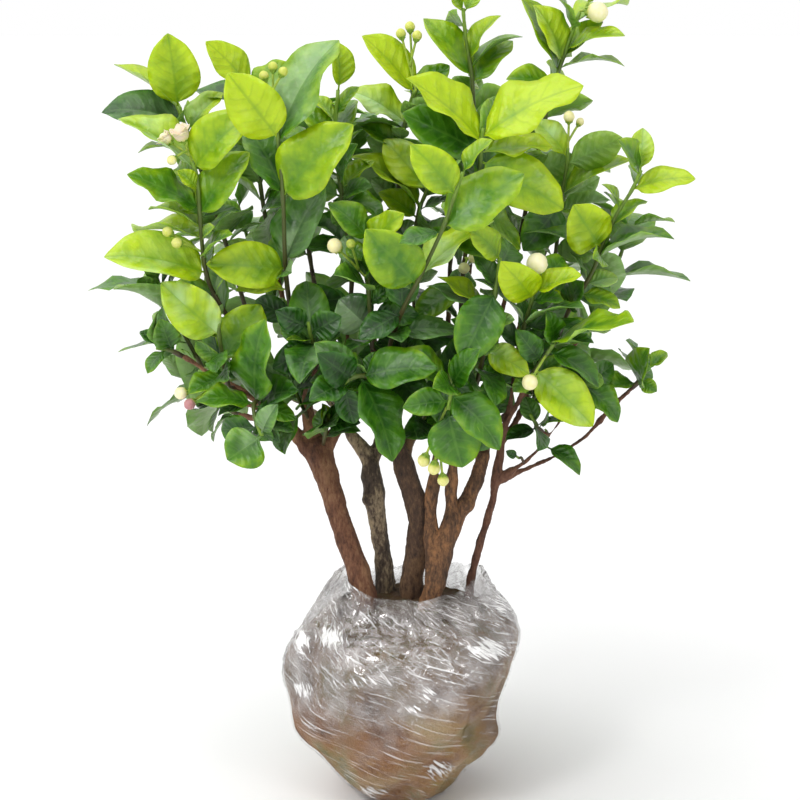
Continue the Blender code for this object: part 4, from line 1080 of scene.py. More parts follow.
@dataclass(frozen=True)
class LeafCutter:
    """Bends one flat closed sheet into each leaf: a short petiole, a channelled blade and a wavy edge."""

    plain_grid: tuple[int, int] = (11, 4)
    fine_grid: tuple[int, int] = (18, 6)
    petiole: float = 3.6 * MM
    petiole_half: float = 0.65 * MM
    least: float = 0.2 * MM
    thickness: float = 0.36 * MM
    rib: float = 0.3 * MM
    bow: float = 0.07
    wave: float = 0.10
    wave_start: float = 0.31
    wave_span: float = 0.34

    @staticmethod
    def sheet(grid: tuple[int, int]) -> Mesh:
        """A flat closed sheet: X runs from 0 to 1 along the leaf, Y from -1 to 1 across, Z is 1 on its top.

        Args:
            grid: Its faces along and across.

        Returns:
            The sheet, with its leaf_map and an empty look layer.
        """
        bm = bmesh.new()
        bmesh.ops.create_grid(bm, x_segments=grid[0], y_segments=grid[1], size=1)
        bmesh.ops.solidify(bm, geom=list(bm.faces), thickness=1.0)
        bm.verts.layers.float_color.new("look")
        maps = bm.loops.layers.uv.new("leaf_map")
        middle = sum(vert.co.z for vert in bm.verts) / len(bm.verts)
        for vert in bm.verts:
            run = (vert.co.x + 1) / 2
            vert.co.x = 0.35 * run + 0.65 * (1 - math.cos(math.pi * run)) / 2
            vert.co.z = 1.0 if vert.co.z > middle else 0.0
        for face in bm.faces:
            for loop in face.loops:
                loop[maps].uv = ((loop.vert.co.y + 1) / 2, loop.vert.co.x)
        bmesh.ops.recalc_face_normals(bm, faces=bm.faces)
        mesh = bpy.data.meshes.new("leaf_sheet")
        bm.to_mesh(mesh)
        bm.free()
        return mesh

    @staticmethod
    def outline(share: float) -> float:
        """The half width at a share of the blade's length: broadest low down, rounded, with a short point.

        Args:
            share: The share, from the base.

        Returns:
            The share of the full half width.
        """
        if share <= 0:
            return 0.0
        round_end = math.sin(math.pi * min(1.0, share) ** 0.8) ** 0.56
        return round_end * (1 - 0.35 * ease(0.84, 1.0, share))

    def bend(self, blade: Blade, habit: Habit, share: float, out: float, top: float) -> Vector:
        """Where one point of the sheet goes.

        Args:
            blade: The leaf.
            habit: How it differs from the plain form.
            share: The place along it, from its base on the stem's axis to its tip.
            out: The place across it, from -1 to 1.
            top: 1 on its upper side and 0 underneath.

        Returns:
            The point.
        """
        along = blade.tip - blade.base
        side = along.cross(blade.face).normalized()
        face = side.cross(along).normalized()
        length = along.length
        root = min(self.petiole / length, 0.2)
        body = max(0.0, (share - root) / (1 - root))
        reach = max(self.petiole_half * (1 - body) ** 3, blade.half * self.outline(body), self.least)
        edge = abs(out)
        rise = 4 * share * (1 - share) * self.bow * length
        rise += (habit.fold + habit.lean * out) * reach * edge**1.2
        rise -= out * self.wave * reach * math.cos(math.pi * (share - self.wave_start) / self.wave_span)
        beat = 2 * math.pi * habit.beats * share + habit.phase + habit.offset * (out > 0)
        rise += habit.ruffle * reach * edge**2 * math.sin(beat)
        rise -= habit.curl * length * body**4
        skin = self.thickness / 2 * (1 - 0.7 * edge**3)
        keel = self.rib * (1 - body) * (1 - edge) ** 2
        rise += skin - keel * 0.3 if top else -skin - keel
        sway = habit.sweep * length * body**2
        return blade.base + along * share + side * (reach * out + sway) + face * rise


class Leafage:
    """Adds leaves to a mesh."""

    def __init__(self) -> None:
        """Cuts the two sheets that all leaves are bent from."""
        self.cutter = LeafCutter()
        self.plain = self.cutter.sheet(self.cutter.plain_grid)
        self.fine = self.cutter.sheet(self.cutter.fine_grid)
        self.bent = bpy.data.meshes.new("bent_leaf")

    def add(
        self,
        bm: BMesh,
        blade: Blade,
        habit: Habit,
        look: tuple,
        material: int = 0,
        fine: bool = False,
    ) -> None:
        """Bends a leaf and adds it to a mesh.

        Args:
            bm: The mesh, with its look and leaf_map layers.
            blade: The leaf.
            habit: How it differs from the plain form.
            look: Three values for its material.
            material: The number of its material.
            fine: Whether it is bent from the finer sheet.
        """
        leaf = bmesh.new()
        leaf.from_mesh(self.fine if fine else self.plain)
        looks = leaf.verts.layers.float_color["look"]
        for vert in leaf.verts:
            share, out, top = vert.co
            vert[looks] = (*look, top)
            vert.co = self.cutter.bend(blade, habit, share, out, top)
        for face in leaf.faces:
            face.material_index = material
        leaf.to_mesh(self.bent)
        leaf.free()
        bm.from_mesh(self.bent)


class Oval(NamedTuple):
    """An oval of the view: its middle, half width, half height, and its strength or its tint's number."""

    across: float
    down: float
    wide: float
    tall: float
    amount: float = 1

    def gap(self, across: float, down: float) -> float:
        """How far a place is from the middle, where the oval's edge is at 1."""
        return math.hypot((across - self.across) / self.wide, (down - self.down) / self.tall)


CROWN = (
    (60, 100, 625), (105, 86, 630), (125, 82, 655), (155, 96, 655), (175, 112, 688), (200, 130, 648),
    (225, 117, 624), (255, 110, 600), (285, 130, 615), (300, 147, 615), (335, 155, 632), (352, 158, 646),
    (390, 172, 650), (415, 178, 640), (430, 206, 600),
)
GAPS = (
    Oval(253, 198, 15, 25), Oval(302, 281, 13, 13), Oval(268, 314, 8, 18), Oval(568, 188, 8, 32),
    Oval(478, 392, 6, 12), Oval(333, 404, 7, 8),
)


def in_crown(spot: Vector) -> bool:
    """Whether an added leaf may reach a point: inside the crown's sides and out of its openings.

    Args:
        spot: The point.

    Returns:
        Whether it may.
    """
    across, down = VIEW.place(spot)
    for above, below in zip(CROWN, CROWN[1:]):
        if above[0] <= down <= below[0]:
            share = (down - above[0]) / (below[0] - above[0])
            left = above[1] + (below[1] - above[1]) * share
            right = above[2] + (below[2] - above[2]) * share
            if not left < across < right:
                return False
    return all(opening.gap(across, down) > 1 for opening in GAPS)


class Clearance:
    """What stands in the bush, so that an added leaf crosses nothing and hides no laid-out leaf."""

    most_hidden: float = 0.2

    def __init__(self, nodes: dict[str, Object]) -> None:
        """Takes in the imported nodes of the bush.

        Args:
            nodes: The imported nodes, by name.
        """
        self.trees = []
        for node in nodes.values():
            corners = [vert.co for vert in node.data.vertices]
            faces = [list(face.vertices) for face in node.data.polygons]
            self.trees.append(BVHTree.FromPolygons(corners, faces))
        self.shown = None

    def show(self, blades: list[Blade], leafage: Leafage) -> None:
        """Takes in the laid-out leaves, which stay in sight from the front.

        Args:
            blades: The leaves.
            leafage: What bends them.
        """
        crowd = bmesh.new()
        crowd.verts.layers.float_color.new("look")
        for blade in blades:
            leafage.add(crowd, blade, Habit(), (0, 0, 0))
        self.shown = BVHTree.FromBMesh(crowd)
        crowd.free()

    def hides(self, leaf: BMesh) -> bool:
        """Whether a leaf stands in front of a laid-out one."""
        rays = [(vert.co, -VIEW.toward_eye(vert.co)) for vert in leaf.verts]
        hits = sum(self.shown.ray_cast(*ray)[0] is not None for ray in rays)
        return hits > self.most_hidden * len(rays)

    def take(self, leaf: BMesh) -> bool:
        """Adds a leaf if it crosses and hides nothing, and says whether it did.

        Args:
            leaf: The leaf's mesh.

        Returns:
            Whether it was added.
        """
        tree = BVHTree.FromBMesh(leaf)
        if self.hides(leaf) or any(tree.overlap(other) for other in self.trees):
            return False
        self.trees.append(tree)
        return True


@dataclass
class LeafyShoot:
    """A green stem with its leaves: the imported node's, finely made, and small ones that it leaves out."""

    plan: ShootPlan
    stem_radius: float = 1.5 * MM
    tip_radius: float = 1.0 * MM
    twig_gap: float = 0.35 * MM
    root: float = 2.4 * MM
    collar: float = 3 * MM
    knuckle: float = 0.22
    knuckle_reach: float = 4 * MM
    sides: int = 8
    match: float = 6.0
    small_ratio: float = 0.58
    sunk: float = 3.2 * MM
    places: tuple = (0.08, 0.2, 0.32, 0.44, 0.56, 0.68, 0.8, 0.92)
    lengths: tuple = (20 * MM, 40 * MM)
    attempts: int = 4
    shrink: float = 0.9
    low: float = 240 * MM
    high: float = 480 * MM
    inner: float = 20 * MM
    outer: float = 140 * MM
    young: float = 22 * MM
    spans: tuple = (
        (0.05, 0.17), (1.2, 2.6), (0, 2 * math.pi), (1, 5), (-0.03, 0.10), (-0.06, 0.06), (0.12, 0.46),
        (-0.16, 0.16),
    )

    def stem_points(self) -> list[Vector]:
        """The stem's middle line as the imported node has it."""
        spots = [VIEW.point(*spot) for spot in self.plan.path]
        along = (spots[1] - spots[0]).normalized()
        start = spots[1] + along * self.twig_gap
        return [start, start + along * self.collar, *spots[2:]]

    def stem(self, bm: BMesh, bases: list[Vector]) -> None:
        """Grows the stem from inside the wood that carries it, with a knuckle where leaves sit.

        Args:
            bm: The empty mesh.
            bases: Where the leaves start.
        """
        looks = bm.verts.layers.float_color["look"]
        points = self.stem_points()
        inward = VIEW.point(*self.plan.path[0]) - points[0]
        rooted = points[0] + inward.normalized() * min(inward.length, self.root)
        path = [rooted, *smooth_path(points)]
        count = len(path) - 1
        radii = []
        for index, point in enumerate(path):
            plain = self.stem_radius + (self.tip_radius - self.stem_radius) * index / count
            near = min(((point - base).length for base in bases), default=1.0)
            radii.append(plain * (1 + self.knuckle * (1 - ease(0, self.knuckle_reach, near))))
        for index, ring in enumerate(sweep(bm, path, radii, self.sides)):
            for vert in ring:
                vert[looks] = (index / count, 0, 0, 1)

    def look_of(self, blade: Blade, rng: random.Random) -> tuple[float, float, float]:
        """How a leaf looks: as laid out in front, and by its place elsewhere.

        Args:
            blade: The leaf.
            rng: The shoot's chance.

        Returns:
            Its tone, the amount of its painted reflection and a chance value.
        """
        chance = rng.random()
        seen = self.seen(blade)
        if seen:
            return seen.tone, seen.reflection_amount, chance
        height = ease(self.low, self.high, blade.tip.z)
        outer = ease(self.inner, self.outer, Vector((blade.tip.x, blade.tip.y)).length)
        young = (blade.tip - blade.base).length < self.young
        # Leaves higher up and further out are lighter, partly as young growth is and partly painted light;
        # deep, low leaves are darker as painted shade. The painted reflection is stronger higher up.
        tone = 0.16 + 0.30 * height + 0.16 * outer + 0.12 * young + rng.uniform(-0.12, 0.12)
        return tone, rng.choice((0, 0, 0.3, 0.6, 0.9)) * (0.4 + 0.6 * height), chance

    def seen(self, blade: Blade) -> Look | None:
        """The laid-out look of a leaf, if it is one of the front view's.

        Args:
            blade: The leaf.

        Returns:
            Its look, or None.
        """
        across, down = VIEW.place(blade.tip)
        for look in self.plan.looks:
            if math.hypot(look.across - across, look.down - down) < self.match:
                return look
        return None

    def small_blades(self) -> list[tuple[Blade, float]]:
        """The small leaves of the front view that the solids leave out, with their tones.

        Returns:
            Each leaf and its tone.
        """
        stem = self.stem_points()
        found = []
        for leaf in self.plan.small:
            base, _ = nearest_on(stem, VIEW.point(*leaf.base, stem[-1].y / MM))
            base, _ = nearest_on(stem, VIEW.point(*leaf.base, base.y / MM))
            tip = VIEW.point(*leaf.tip, base.y / MM + leaf.reach)
            along = tip - base
            half = max(leaf.width * VIEW.step, self.small_ratio * along.length) / 2
            shown = min(1.0, leaf.width * VIEW.step / 2 / half)
            eye = VIEW.toward_eye(base)
            eye = (eye - along * (eye.dot(along) / along.length_squared)).normalized()
            above = eye.cross(along).normalized()
            if above.z < 0:
                above = -above
            face = eye * shown + above * math.sqrt(1 - shown**2)
            found.append((Blade(base, tip, face, half), leaf.tone))
        return found

    def habit(self, rng: random.Random) -> Habit:
        """How one leaf differs from the plain form, with each value drawn from its span."""
        return Habit(*(rng.uniform(*span) for span in self.spans))

    def fillers(self, rng: random.Random, fits: Callable[[Blade, Habit], bool]) -> list[tuple[Blade, Habit]]:
        """Leaves by rule: pairs up the stem, each turned from the last, wherever one crosses nothing.

        Args:
            rng: The shoot's chance.
            fits: Says whether a leaf crosses nothing, and keeps its place if so.

        Returns:
            The leaves that fit.
        """
        stem = self.stem_points()
        found = []
        spin = rng.uniform(0, math.pi)
        for share in self.places:
            base, along = walk(stem, share)
            for half_turn in (0, math.pi):
                for attempt in range(self.attempts):
                    turn = spin + half_turn + rng.uniform(-0.5, 0.5) * attempt
                    blade = self.filler(base, along, turn, rng, self.shrink**attempt)
                    habit = self.habit(rng)
                    inside = in_crown(blade.tip) and in_crown(blade.base.lerp(blade.tip, 0.5))
                    if inside and fits(blade, habit):
                        found.append((blade, habit))
                        break
            spin += math.pi / 2 + rng.uniform(-0.4, 0.4)
        return found

    def filler(self, base: Vector, along: Vector, turn: float, rng: random.Random, scale: float) -> Blade:
        """One leaf of such a pair, which faces up and out of the bush.

        Args:
            base: Its place on the stem.
            along: The stem's direction there.
            turn: Its angle round the stem.
            rng: The shoot's chance.
            scale: A factor on its length.

        Returns:
            The leaf.
        """
        out = Matrix.Rotation(turn, 3, along) @ along.orthogonal().normalized()
        lean = math.radians(rng.uniform(35, 75))
        way = along * math.cos(lean) + out * math.sin(lean)
        way.z += rng.uniform(-0.3, 0.15)
        way.normalize()
        away = Vector((base.x, base.y - 20 * MM, 0)).normalized()
        face = UP * 0.55 + away * rng.uniform(0.3, 1.1) + out * rng.uniform(-0.3, 0.3)
        face = (face - way * face.dot(way)).normalized()
        length = rng.uniform(*self.lengths) * scale
        return Blade(base, base + way * length, face, length * rng.uniform(0.27, 0.34))

    def build(
        self,
        node: Object | None,
        leafage: Leafage,
        clearance: Clearance,
        materials: list[Material],
    ) -> Object:
        """Makes the shoot.

        Args:
            node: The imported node, or nothing for a sprout that the solids leave out.
            leafage: What bends the leaves.
            clearance: What stands in the bush.
            materials: The stem's and the leaves' materials.

        Returns:
            The piece.
        """
        rng = random.Random(self.plan.name + " leaves")

        fits = partial(self.fits, leafage=leafage, clearance=clearance)
        leaves = []
        if node:
            leaves = [(blade, self.habit(rng), self.look_of(blade, rng)) for blade in CadLeaves().read(node)]
        for blade, tone in self.small_blades():
            habit = self.habit(rng)
            if fits(blade, habit):
                leaves.append((blade, habit, (tone, 0, rng.random())))
        for blade, habit in self.fillers(rng, fits):
            leaves.append((blade, habit, self.look_of(blade, rng)))
        bm = bmesh.new()
        bm.verts.layers.float_color.new("look")
        bm.loops.layers.uv.new("leaf_map")
        self.stem(bm, [blade.base for blade, _, _ in leaves])
        for blade, habit, look in leaves:
            leafage.add(bm, blade, habit, look, 1, self.seen(blade) is not None)
        name = self.plan.name.replace("shoot", "sprig")
        return finish_piece(bm, name, materials, [self.plan.name] if node else [])

    def fits(self, blade: Blade, habit: Habit, leafage: Leafage, clearance: Clearance) -> bool:
        """Whether an added leaf, without its sunk root, crosses nothing.

        Args:
            blade: The leaf.
            habit: How it differs from the plain form.
            leafage: What bends it.
            clearance: What it has to clear.

        Returns:
            Whether it was added.
        """
        along = (blade.tip - blade.base).normalized()
        leaf = bmesh.new()
        leaf.from_mesh(leafage.plain)
        clear = blade._replace(base=blade.base + along * self.sunk)
        for vert in leaf.verts:
            vert.co = leafage.cutter.bend(clear, habit, *vert.co)
        taken = clearance.take(leaf)
        leaf.free()
        return taken


BUD_HUES = {
    "flower_left": ((0.0, 0.32), (0.05, 0.12), (0.35, 0)),
    "buds_far_left": ((0.6, 0), (0.6, 0)),
    "buds_left_middle": ((0.7, 0),),
    "buds_top_left": ((0.65, 0),),
    "buds_top_right": ((0.12, 0), (0.5, 0)),
    "buds_right_inner": ((0.25, 0),),
    "bud_right_front": ((0.08, 0),),
    "buds_middle": ((0.2, 0),),
    "bud_small_front": ((0.22, 0.05), (0.8, 0)),
    "bud_low_right": ((0.2, 0),),
    "buds_twig_left": ((0.12, 0), (0.2, 0.85)),
    "buds_hanging": ((0.45, 0),),
}


@dataclass
class Sprout(LeafyShoot):
    """A short leafy shoot straight from the wood, which the solids leave out."""

    stem_radius: float = 1.2 * MM
    root: float = 9 * MM
    places: tuple = (0.25, 0.45, 0.65, 0.85, 0.98)
    lengths: tuple = (22 * MM, 42 * MM)
    attempts: int = 7


@dataclass
class Twiglet(LeafyShoot):
    """A very short thin shoot with one leaf."""

    stem_radius: float = 0.9 * MM
    tip_radius: float = 0.6 * MM
    root: float = 9 * MM
    places: tuple = ()


@dataclass
class BudCluster:
    """Buds on a branched stalk: round petals wound in a spiral, in a small green calyx with narrow teeth."""

    plan: ClusterPlan
    stem: list[Vector]
    stalk: float = 0.75 * MM
    gap: float = -0.7 * MM
    stem_radius: float = 1.5 * MM
    tip_radius: float = 1.05 * MM
    stalk_sides: int = 7
    ball: tuple[int, int] = (18, 12)
    stretch: float = 1.15
    petals: int = 3
    twist: float = 0.45
    petal_edge: float = 0.07
    cup_half: float = 0.62
    cup_depth: float = 0.55
    teeth: int = 7
    tooth_lean: float = math.radians(16)
    tooth_place: tuple = (0.74, 0, 0.62)
    tooth_half: float = 0.15
    tooth_length: float = 1.05
    open_buds: int = 2
    open_petals: int = 9
    golden: float = 0.382
    branch_start: float = 0.18
    branch_step: float = 0.22

    def seat(self) -> tuple[Vector, Vector]:
        """Where the stalk starts, just inside the stem's tip or its side, and the way it leaves.

        Returns:
            The point and the way.
        """
        point, along = nearest_on(self.stem, VIEW.point(*self.plan.seat))
        if (point - self.stem[-1]).length < self.tip_radius:
            return self.stem[-1] + along * self.gap, along
        out = VIEW.point(*self.plan.buds[0][:3]) - point
        out = (out - along * out.dot(along)).normalized()
        return point + out * (self.stem_radius + self.gap), out

    def tube(self, bm: BMesh, path: list[Vector], green: float) -> None:
        """A stalk along a path.

        Args:
            bm: The mesh.
            path: The stalk's path.
            green: How green it is.
        """
        looks = bm.verts.layers.float_color["look"]
        points = smooth_path(path)
        for ring in sweep(bm, points, [self.stalk] * len(points), self.stalk_sides):
            for vert in ring:
                vert[looks] = (green, 0, 0, 1)

    def bud(self, bm: BMesh, centre: Vector, along: Vector, radius: float, hue: tuple) -> None:
        """One bud: a ball of petals wound in a spiral.

        Args:
            bm: The mesh.
            centre: The bud's middle.
            along: The way that it points.
            radius: Its radius.
            hue: Its greenness and its pink.
        """
        looks = bm.verts.layers.float_color["look"]
        turn = UP.rotation_difference(along).to_matrix()
        around, rings = self.ball
        for vert in bmesh.ops.create_uvsphere(bm, u_segments=around, v_segments=rings, radius=1.0)["verts"]:
            spot = vert.co.copy()
            angle = math.atan2(spot.y, spot.x)
            wind = (angle * self.petals / (2 * math.pi) + spot.z * self.twist) % 1.0
            swell = 1 + self.petal_edge * wind * ease(-0.9, 0.1, spot.z) - 0.10 * ease(0.2, -1.0, spot.z)
            swell *= 1 - 0.12 * ease(0.5, 1.0, spot.z)
            spot = Vector((spot.x * swell, spot.y * swell, spot.z * self.stretch))
            base = ease(-0.1, -0.95, vert.co.z)
            vert[looks] = (min(1.0, hue[0] + 0.75 * base), hue[1] * (1 - base), 0, 1)
            vert.co = centre + turn @ (spot * radius)

    def calyx(self, bm: BMesh, centre: Vector, along: Vector, radius: float) -> None:
        """The green cup under a bud, with its narrow teeth.

        Args:
            bm: The mesh.
            centre: The bud's middle.
            along: The way that it points.
            radius: Its radius.
        """
        looks = bm.verts.layers.float_color["look"]
        turn = UP.rotation_difference(along).to_matrix().to_4x4()
        low = centre - along * (radius * self.stretch * 0.98)
        cup = bmesh.ops.create_cone(
            bm,
            cap_ends=True,
            segments=12,
            radius1=self.stalk,
            radius2=radius * self.cup_half,
            depth=radius * self.cup_depth,
            matrix=Matrix.Translation(low) @ turn,
        )["verts"]
        green = list(cup)
        for tooth in range(self.teeth):
            angle = 2 * math.pi * tooth / self.teeth
            spin = Matrix.Rotation(angle, 4, "Z")
            lean = Matrix.Rotation(self.tooth_lean, 4, "Y")
            lift = Matrix.Translation(Vector(self.tooth_place) * radius)
            slim = Matrix.Diagonal((0.45, 1, 1, 1))
            spike = bmesh.ops.create_cone(
                bm,
                cap_ends=True,
                segments=6,
                radius1=radius * self.tooth_half,
                radius2=radius * 0.02,
                depth=radius * self.tooth_length,
                matrix=Matrix.Translation(low) @ turn @ spin @ lift @ lean @ slim,
            )["verts"]
            green += spike
        for vert in green:
            vert[looks] = (1, 0, 0, 1)

    def bloom(
        self, bm: BMesh, centre: Vector, along: Vector, radius: float, leafage: Leafage
    ) -> None:
        """The petals of a half-open flower round its bud.

        Args:
            bm: The mesh.
            centre: The bud's middle.
            along: The way that it points.
            radius: Its radius.
            leafage: What bends the petals.
        """
        across = along.orthogonal().normalized()
        for number in range(self.open_petals):
            angle = 2 * math.pi * number * self.golden
            out = Matrix.Rotation(angle, 3, along) @ across
            spread = 0.45 + 0.09 * number
            way = (along * 0.8 + out * spread).normalized()
            face = (along - way * along.dot(way)).normalized()
            base = centre - along * radius * 0.7 + out * radius * 0.1
            tip = base + way * radius * 2.0
            petal = Blade(base, tip, face, radius * 0.62)
            leafage.add(bm, petal, Habit(ruffle=0.06, phase=number, curl=-0.12), (0.02, 0.22, 0))

    def build(self, leafage: Leafage, materials: list[Material]) -> Object:
        """Makes the cluster.

        Args:
            leafage: What bends the petals.
            materials: The buds' material.

        Returns:
            The piece.
        """
        bm = bmesh.new()
        bm.verts.layers.float_color.new("look")
        bm.loops.layers.uv.new("leaf_map")
        seat, out = self.seat()
        collar = seat + out * 2 * self.stalk
        hues = BUD_HUES.get(self.plan.name, ((0.15, 0),))
        first = VIEW.point(*self.plan.buds[0][:3])
        for number, (across, down, back, size) in enumerate(self.plan.buds):
            centre = VIEW.point(across, down, back)
            radius = size * VIEW.step / 2
            branch = self.branch_start + self.branch_step * (number - 1)
            start = [collar.lerp(first, branch)] if number else [seat, collar]
            along = (centre - start[-1]).normalized()
            hue = hues[min(number, len(hues) - 1)]
            self.tube(bm, [*start, start[-1].lerp(centre, 0.5) + UP * 0.3 * MM, centre - along * radius], 0.9)
            self.bud(bm, centre, along, radius * 0.98, hue)
            self.calyx(bm, centre, along, radius)
            if self.plan.name == "flower_left" and number < self.open_buds:
                self.bloom(bm, centre, along, radius, leafage)
        return finish_piece(bm, self.plan.name + "_fine", materials, [self.plan.name])


class Knot(NamedTuple):
    """A swelling or slimming of the wood: its place in the view and depth, its rise and spread in mm."""

    across: float
    down: float
    back: float
    rise: float
    spread: float


KNOTS = {
    "trunk_left": (
        Knot(316, 446, -8, 1.6, 11), Knot(330, 492, -18, 0.9, 7), Knot(345, 545, -20, 0.8, 8),
    ),
    "trunk_rough": (
        Knot(367, 500, 6, 2.6, 4), Knot(380, 492, 6, 1.2, 4), Knot(374, 512, 4, 1.2, 4),
        Knot(392, 545, 8, 1.3, 4), Knot(379, 560, 8, 1.2, 4), Knot(366, 476, 8, 1.5, 4),
    ),
    "trunk_middle": (
        Knot(404, 590, -8, 1.5, 8), Knot(404, 505, -5, 1.7, 13), Knot(402, 472, -6, 1.4, 10),
        Knot(420, 560, -8, 1.2, 7),
    ),
    "trunk_right": (
        Knot(466, 505, -8, 4.2, 4), Knot(456, 560, -14, 2.4, 6), Knot(446, 585, -20, 2.0, 7),
        Knot(440, 535, -14, 2.2, 7), Knot(452, 520, -12, 2.0, 6), Knot(437, 486, -10, 1.8, 11),
        Knot(455, 484, 6, 1.5, 11), Knot(474, 482, -8, 1.0, 9),
    ),
    "trunk_thin": (
        Knot(496, 478, -3, 1.0, 5), Knot(575, 435, -2, -0.75, 45), Knot(600, 420, 2, 1.0, 3),
    ),
}
BARKS = {
    "trunk_left": ("#33190f", "#6b4530", "#8f6a4c"),
    "trunk_rough": ("#1f1811", "#54463a", "#b09c7c"),
    "trunk_middle": ("#1c120c", "#4a3527", "#75593f"),
    "trunk_right": ("#20140d", "#5c412d", "#a07048"),
    "trunk_thin": ("#2b1811", "#5c3b2c", "#7d5843"),
}
CRACK = 426


@dataclass
class Trunk:
    """A trunk with its limbs and twigs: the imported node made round, with knots and the relief of old bark."""

    name: str
    voxel: float = 0.8 * MM
    ridge: float = 0.45 * MM
    ridge_size: float = 3.2 * MM
    pit_size: float = 1.6 * MM
    lump: float = 0.9 * MM
    lump_size: float = 10 * MM
    twigs_from: float = 270 * MM
    twigs_to: float = 330 * MM
    crack_reach: float = 12
    crack_pull: float = 3.6 * MM

    def relief(self, spot: Vector) -> float:
        """How far the bark stands out at a point: ridges and pits, and lumps where the limb is thick.

        Args:
            spot: The point.

        Returns:
            The distance in metres.
        """
        tall = noise.noise(Vector((spot.x, spot.y, spot.z * 0.35)) / self.ridge_size)
        fine = noise.noise(Vector((spot.x, spot.y, spot.z * 0.8)) / self.pit_size)
        lump = noise.noise(spot / self.lump_size)
        thick = 1 - 0.7 * ease(self.twigs_from, self.twigs_to, spot.z)
        return (self.ridge * (tall + 0.5 * fine) + self.lump * lump) * thick

    def swelling(self, spot: Vector) -> float:
        """How far the knots push a point out.

        Args:
            spot: The point.

        Returns:
            The distance in metres.
        """
        total = 0.0
        for knot in KNOTS[self.name]:
            gap = (spot - VIEW.point(knot.across, knot.down, knot.back)).length / (knot.spread * MM)
            if gap < 3:
                total += knot.rise * MM * math.exp(-(gap**2))
        return total

    def pull(self, spot: Vector) -> Vector:
        """The move that closes the crack, where the middle and right trunks have grown together.

        Args:
            spot: The point.

        Returns:
            The move.
        """
        across, down = VIEW.place(spot)
        gap = CRACK - across
        if self.name not in ("trunk_middle", "trunk_right") or abs(gap) > self.crack_reach:
            return Vector((0, 0, 0))
        amount = self.crack_pull * (1 - (gap / self.crack_reach) ** 2) * ease(470, 505, down)
        return Vector((math.copysign(min(amount, 1.3 * abs(gap) * VIEW.step), gap), 0, 0))

    def build(self, node: Object, material: Material) -> Object:
        """Makes the trunk.

        Args:
            node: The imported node.
            material: Its bark.

        Returns:
            The piece.
        """
        bm = bmesh.new()
        bm.from_mesh(node.data)
        bmesh.ops.remove_doubles(bm, verts=bm.verts, dist=WELD)
        mesh = bpy.data.meshes.new("rough")
        bm.to_mesh(mesh)
        bm.free()
        rough = bpy.data.objects.new("rough", mesh)
        bpy.context.scene.collection.objects.link(rough)
        grid = rough.modifiers.new("grid", "REMESH")
        grid.mode = "VOXEL"
        grid.voxel_size = self.voxel
        soft = rough.modifiers.new("soft", "SMOOTH")
        soft.iterations = 8
        soft.factor = 0.5
        graph = bpy.context.evaluated_depsgraph_get()
        bm = bmesh.new()
        bm.from_object(rough, graph)
        bpy.data.objects.remove(rough)
        bpy.data.meshes.remove(mesh)
        bm.normal_update()
        moves = []
        for vert in bm.verts:
            out = vert.normal * (self.relief(vert.co) + self.swelling(vert.co))
            moves.append(out + self.pull(vert.co))
        for vert, move in zip(bm.verts, moves):
            vert.co += move
        return finish_piece(bm, self.name + "_bark", [material], [self.name])


class Lobe(NamedTuple):
    """A bulge or dent of the ball: degrees round from the front, its height, rise and spread in mm."""

    turn: float
    height: float
    rise: float
    spread: float


LOBES = (
    Lobe(-92, 124, 6.0, 15), Lobe(-76, 110, 4.5, 11), Lobe(-84, 131, -2.5, 5), Lobe(-88, 82, 3.0, 15),
    Lobe(92, 126, 7.0, 16), Lobe(96, 100, 5.0, 15), Lobe(70, 46, 3.5, 9), Lobe(52, 24, -6.0, 17),
    Lobe(3, 12, -4.0, 8), Lobe(-22, 16, 2.5, 10), Lobe(26, 15, 2.0, 9), Lobe(-58, 30, -2.0, 14),
    Lobe(-30, 96, 3.0, 16), Lobe(22, 66, 3.5, 18), Lobe(48, 92, 3.0, 14), Lobe(39, 84, -2.5, 6),
    Lobe(39, 72, -3.0, 6), Lobe(40, 60, -2.5, 6), Lobe(-8, 84, -2.0, 12), Lobe(-45, 62, 2.0, 14),
    Lobe(150, 70, 3.5, 20), Lobe(-150, 90, 3.0, 20), Lobe(180, 40, -3.0, 16),
)


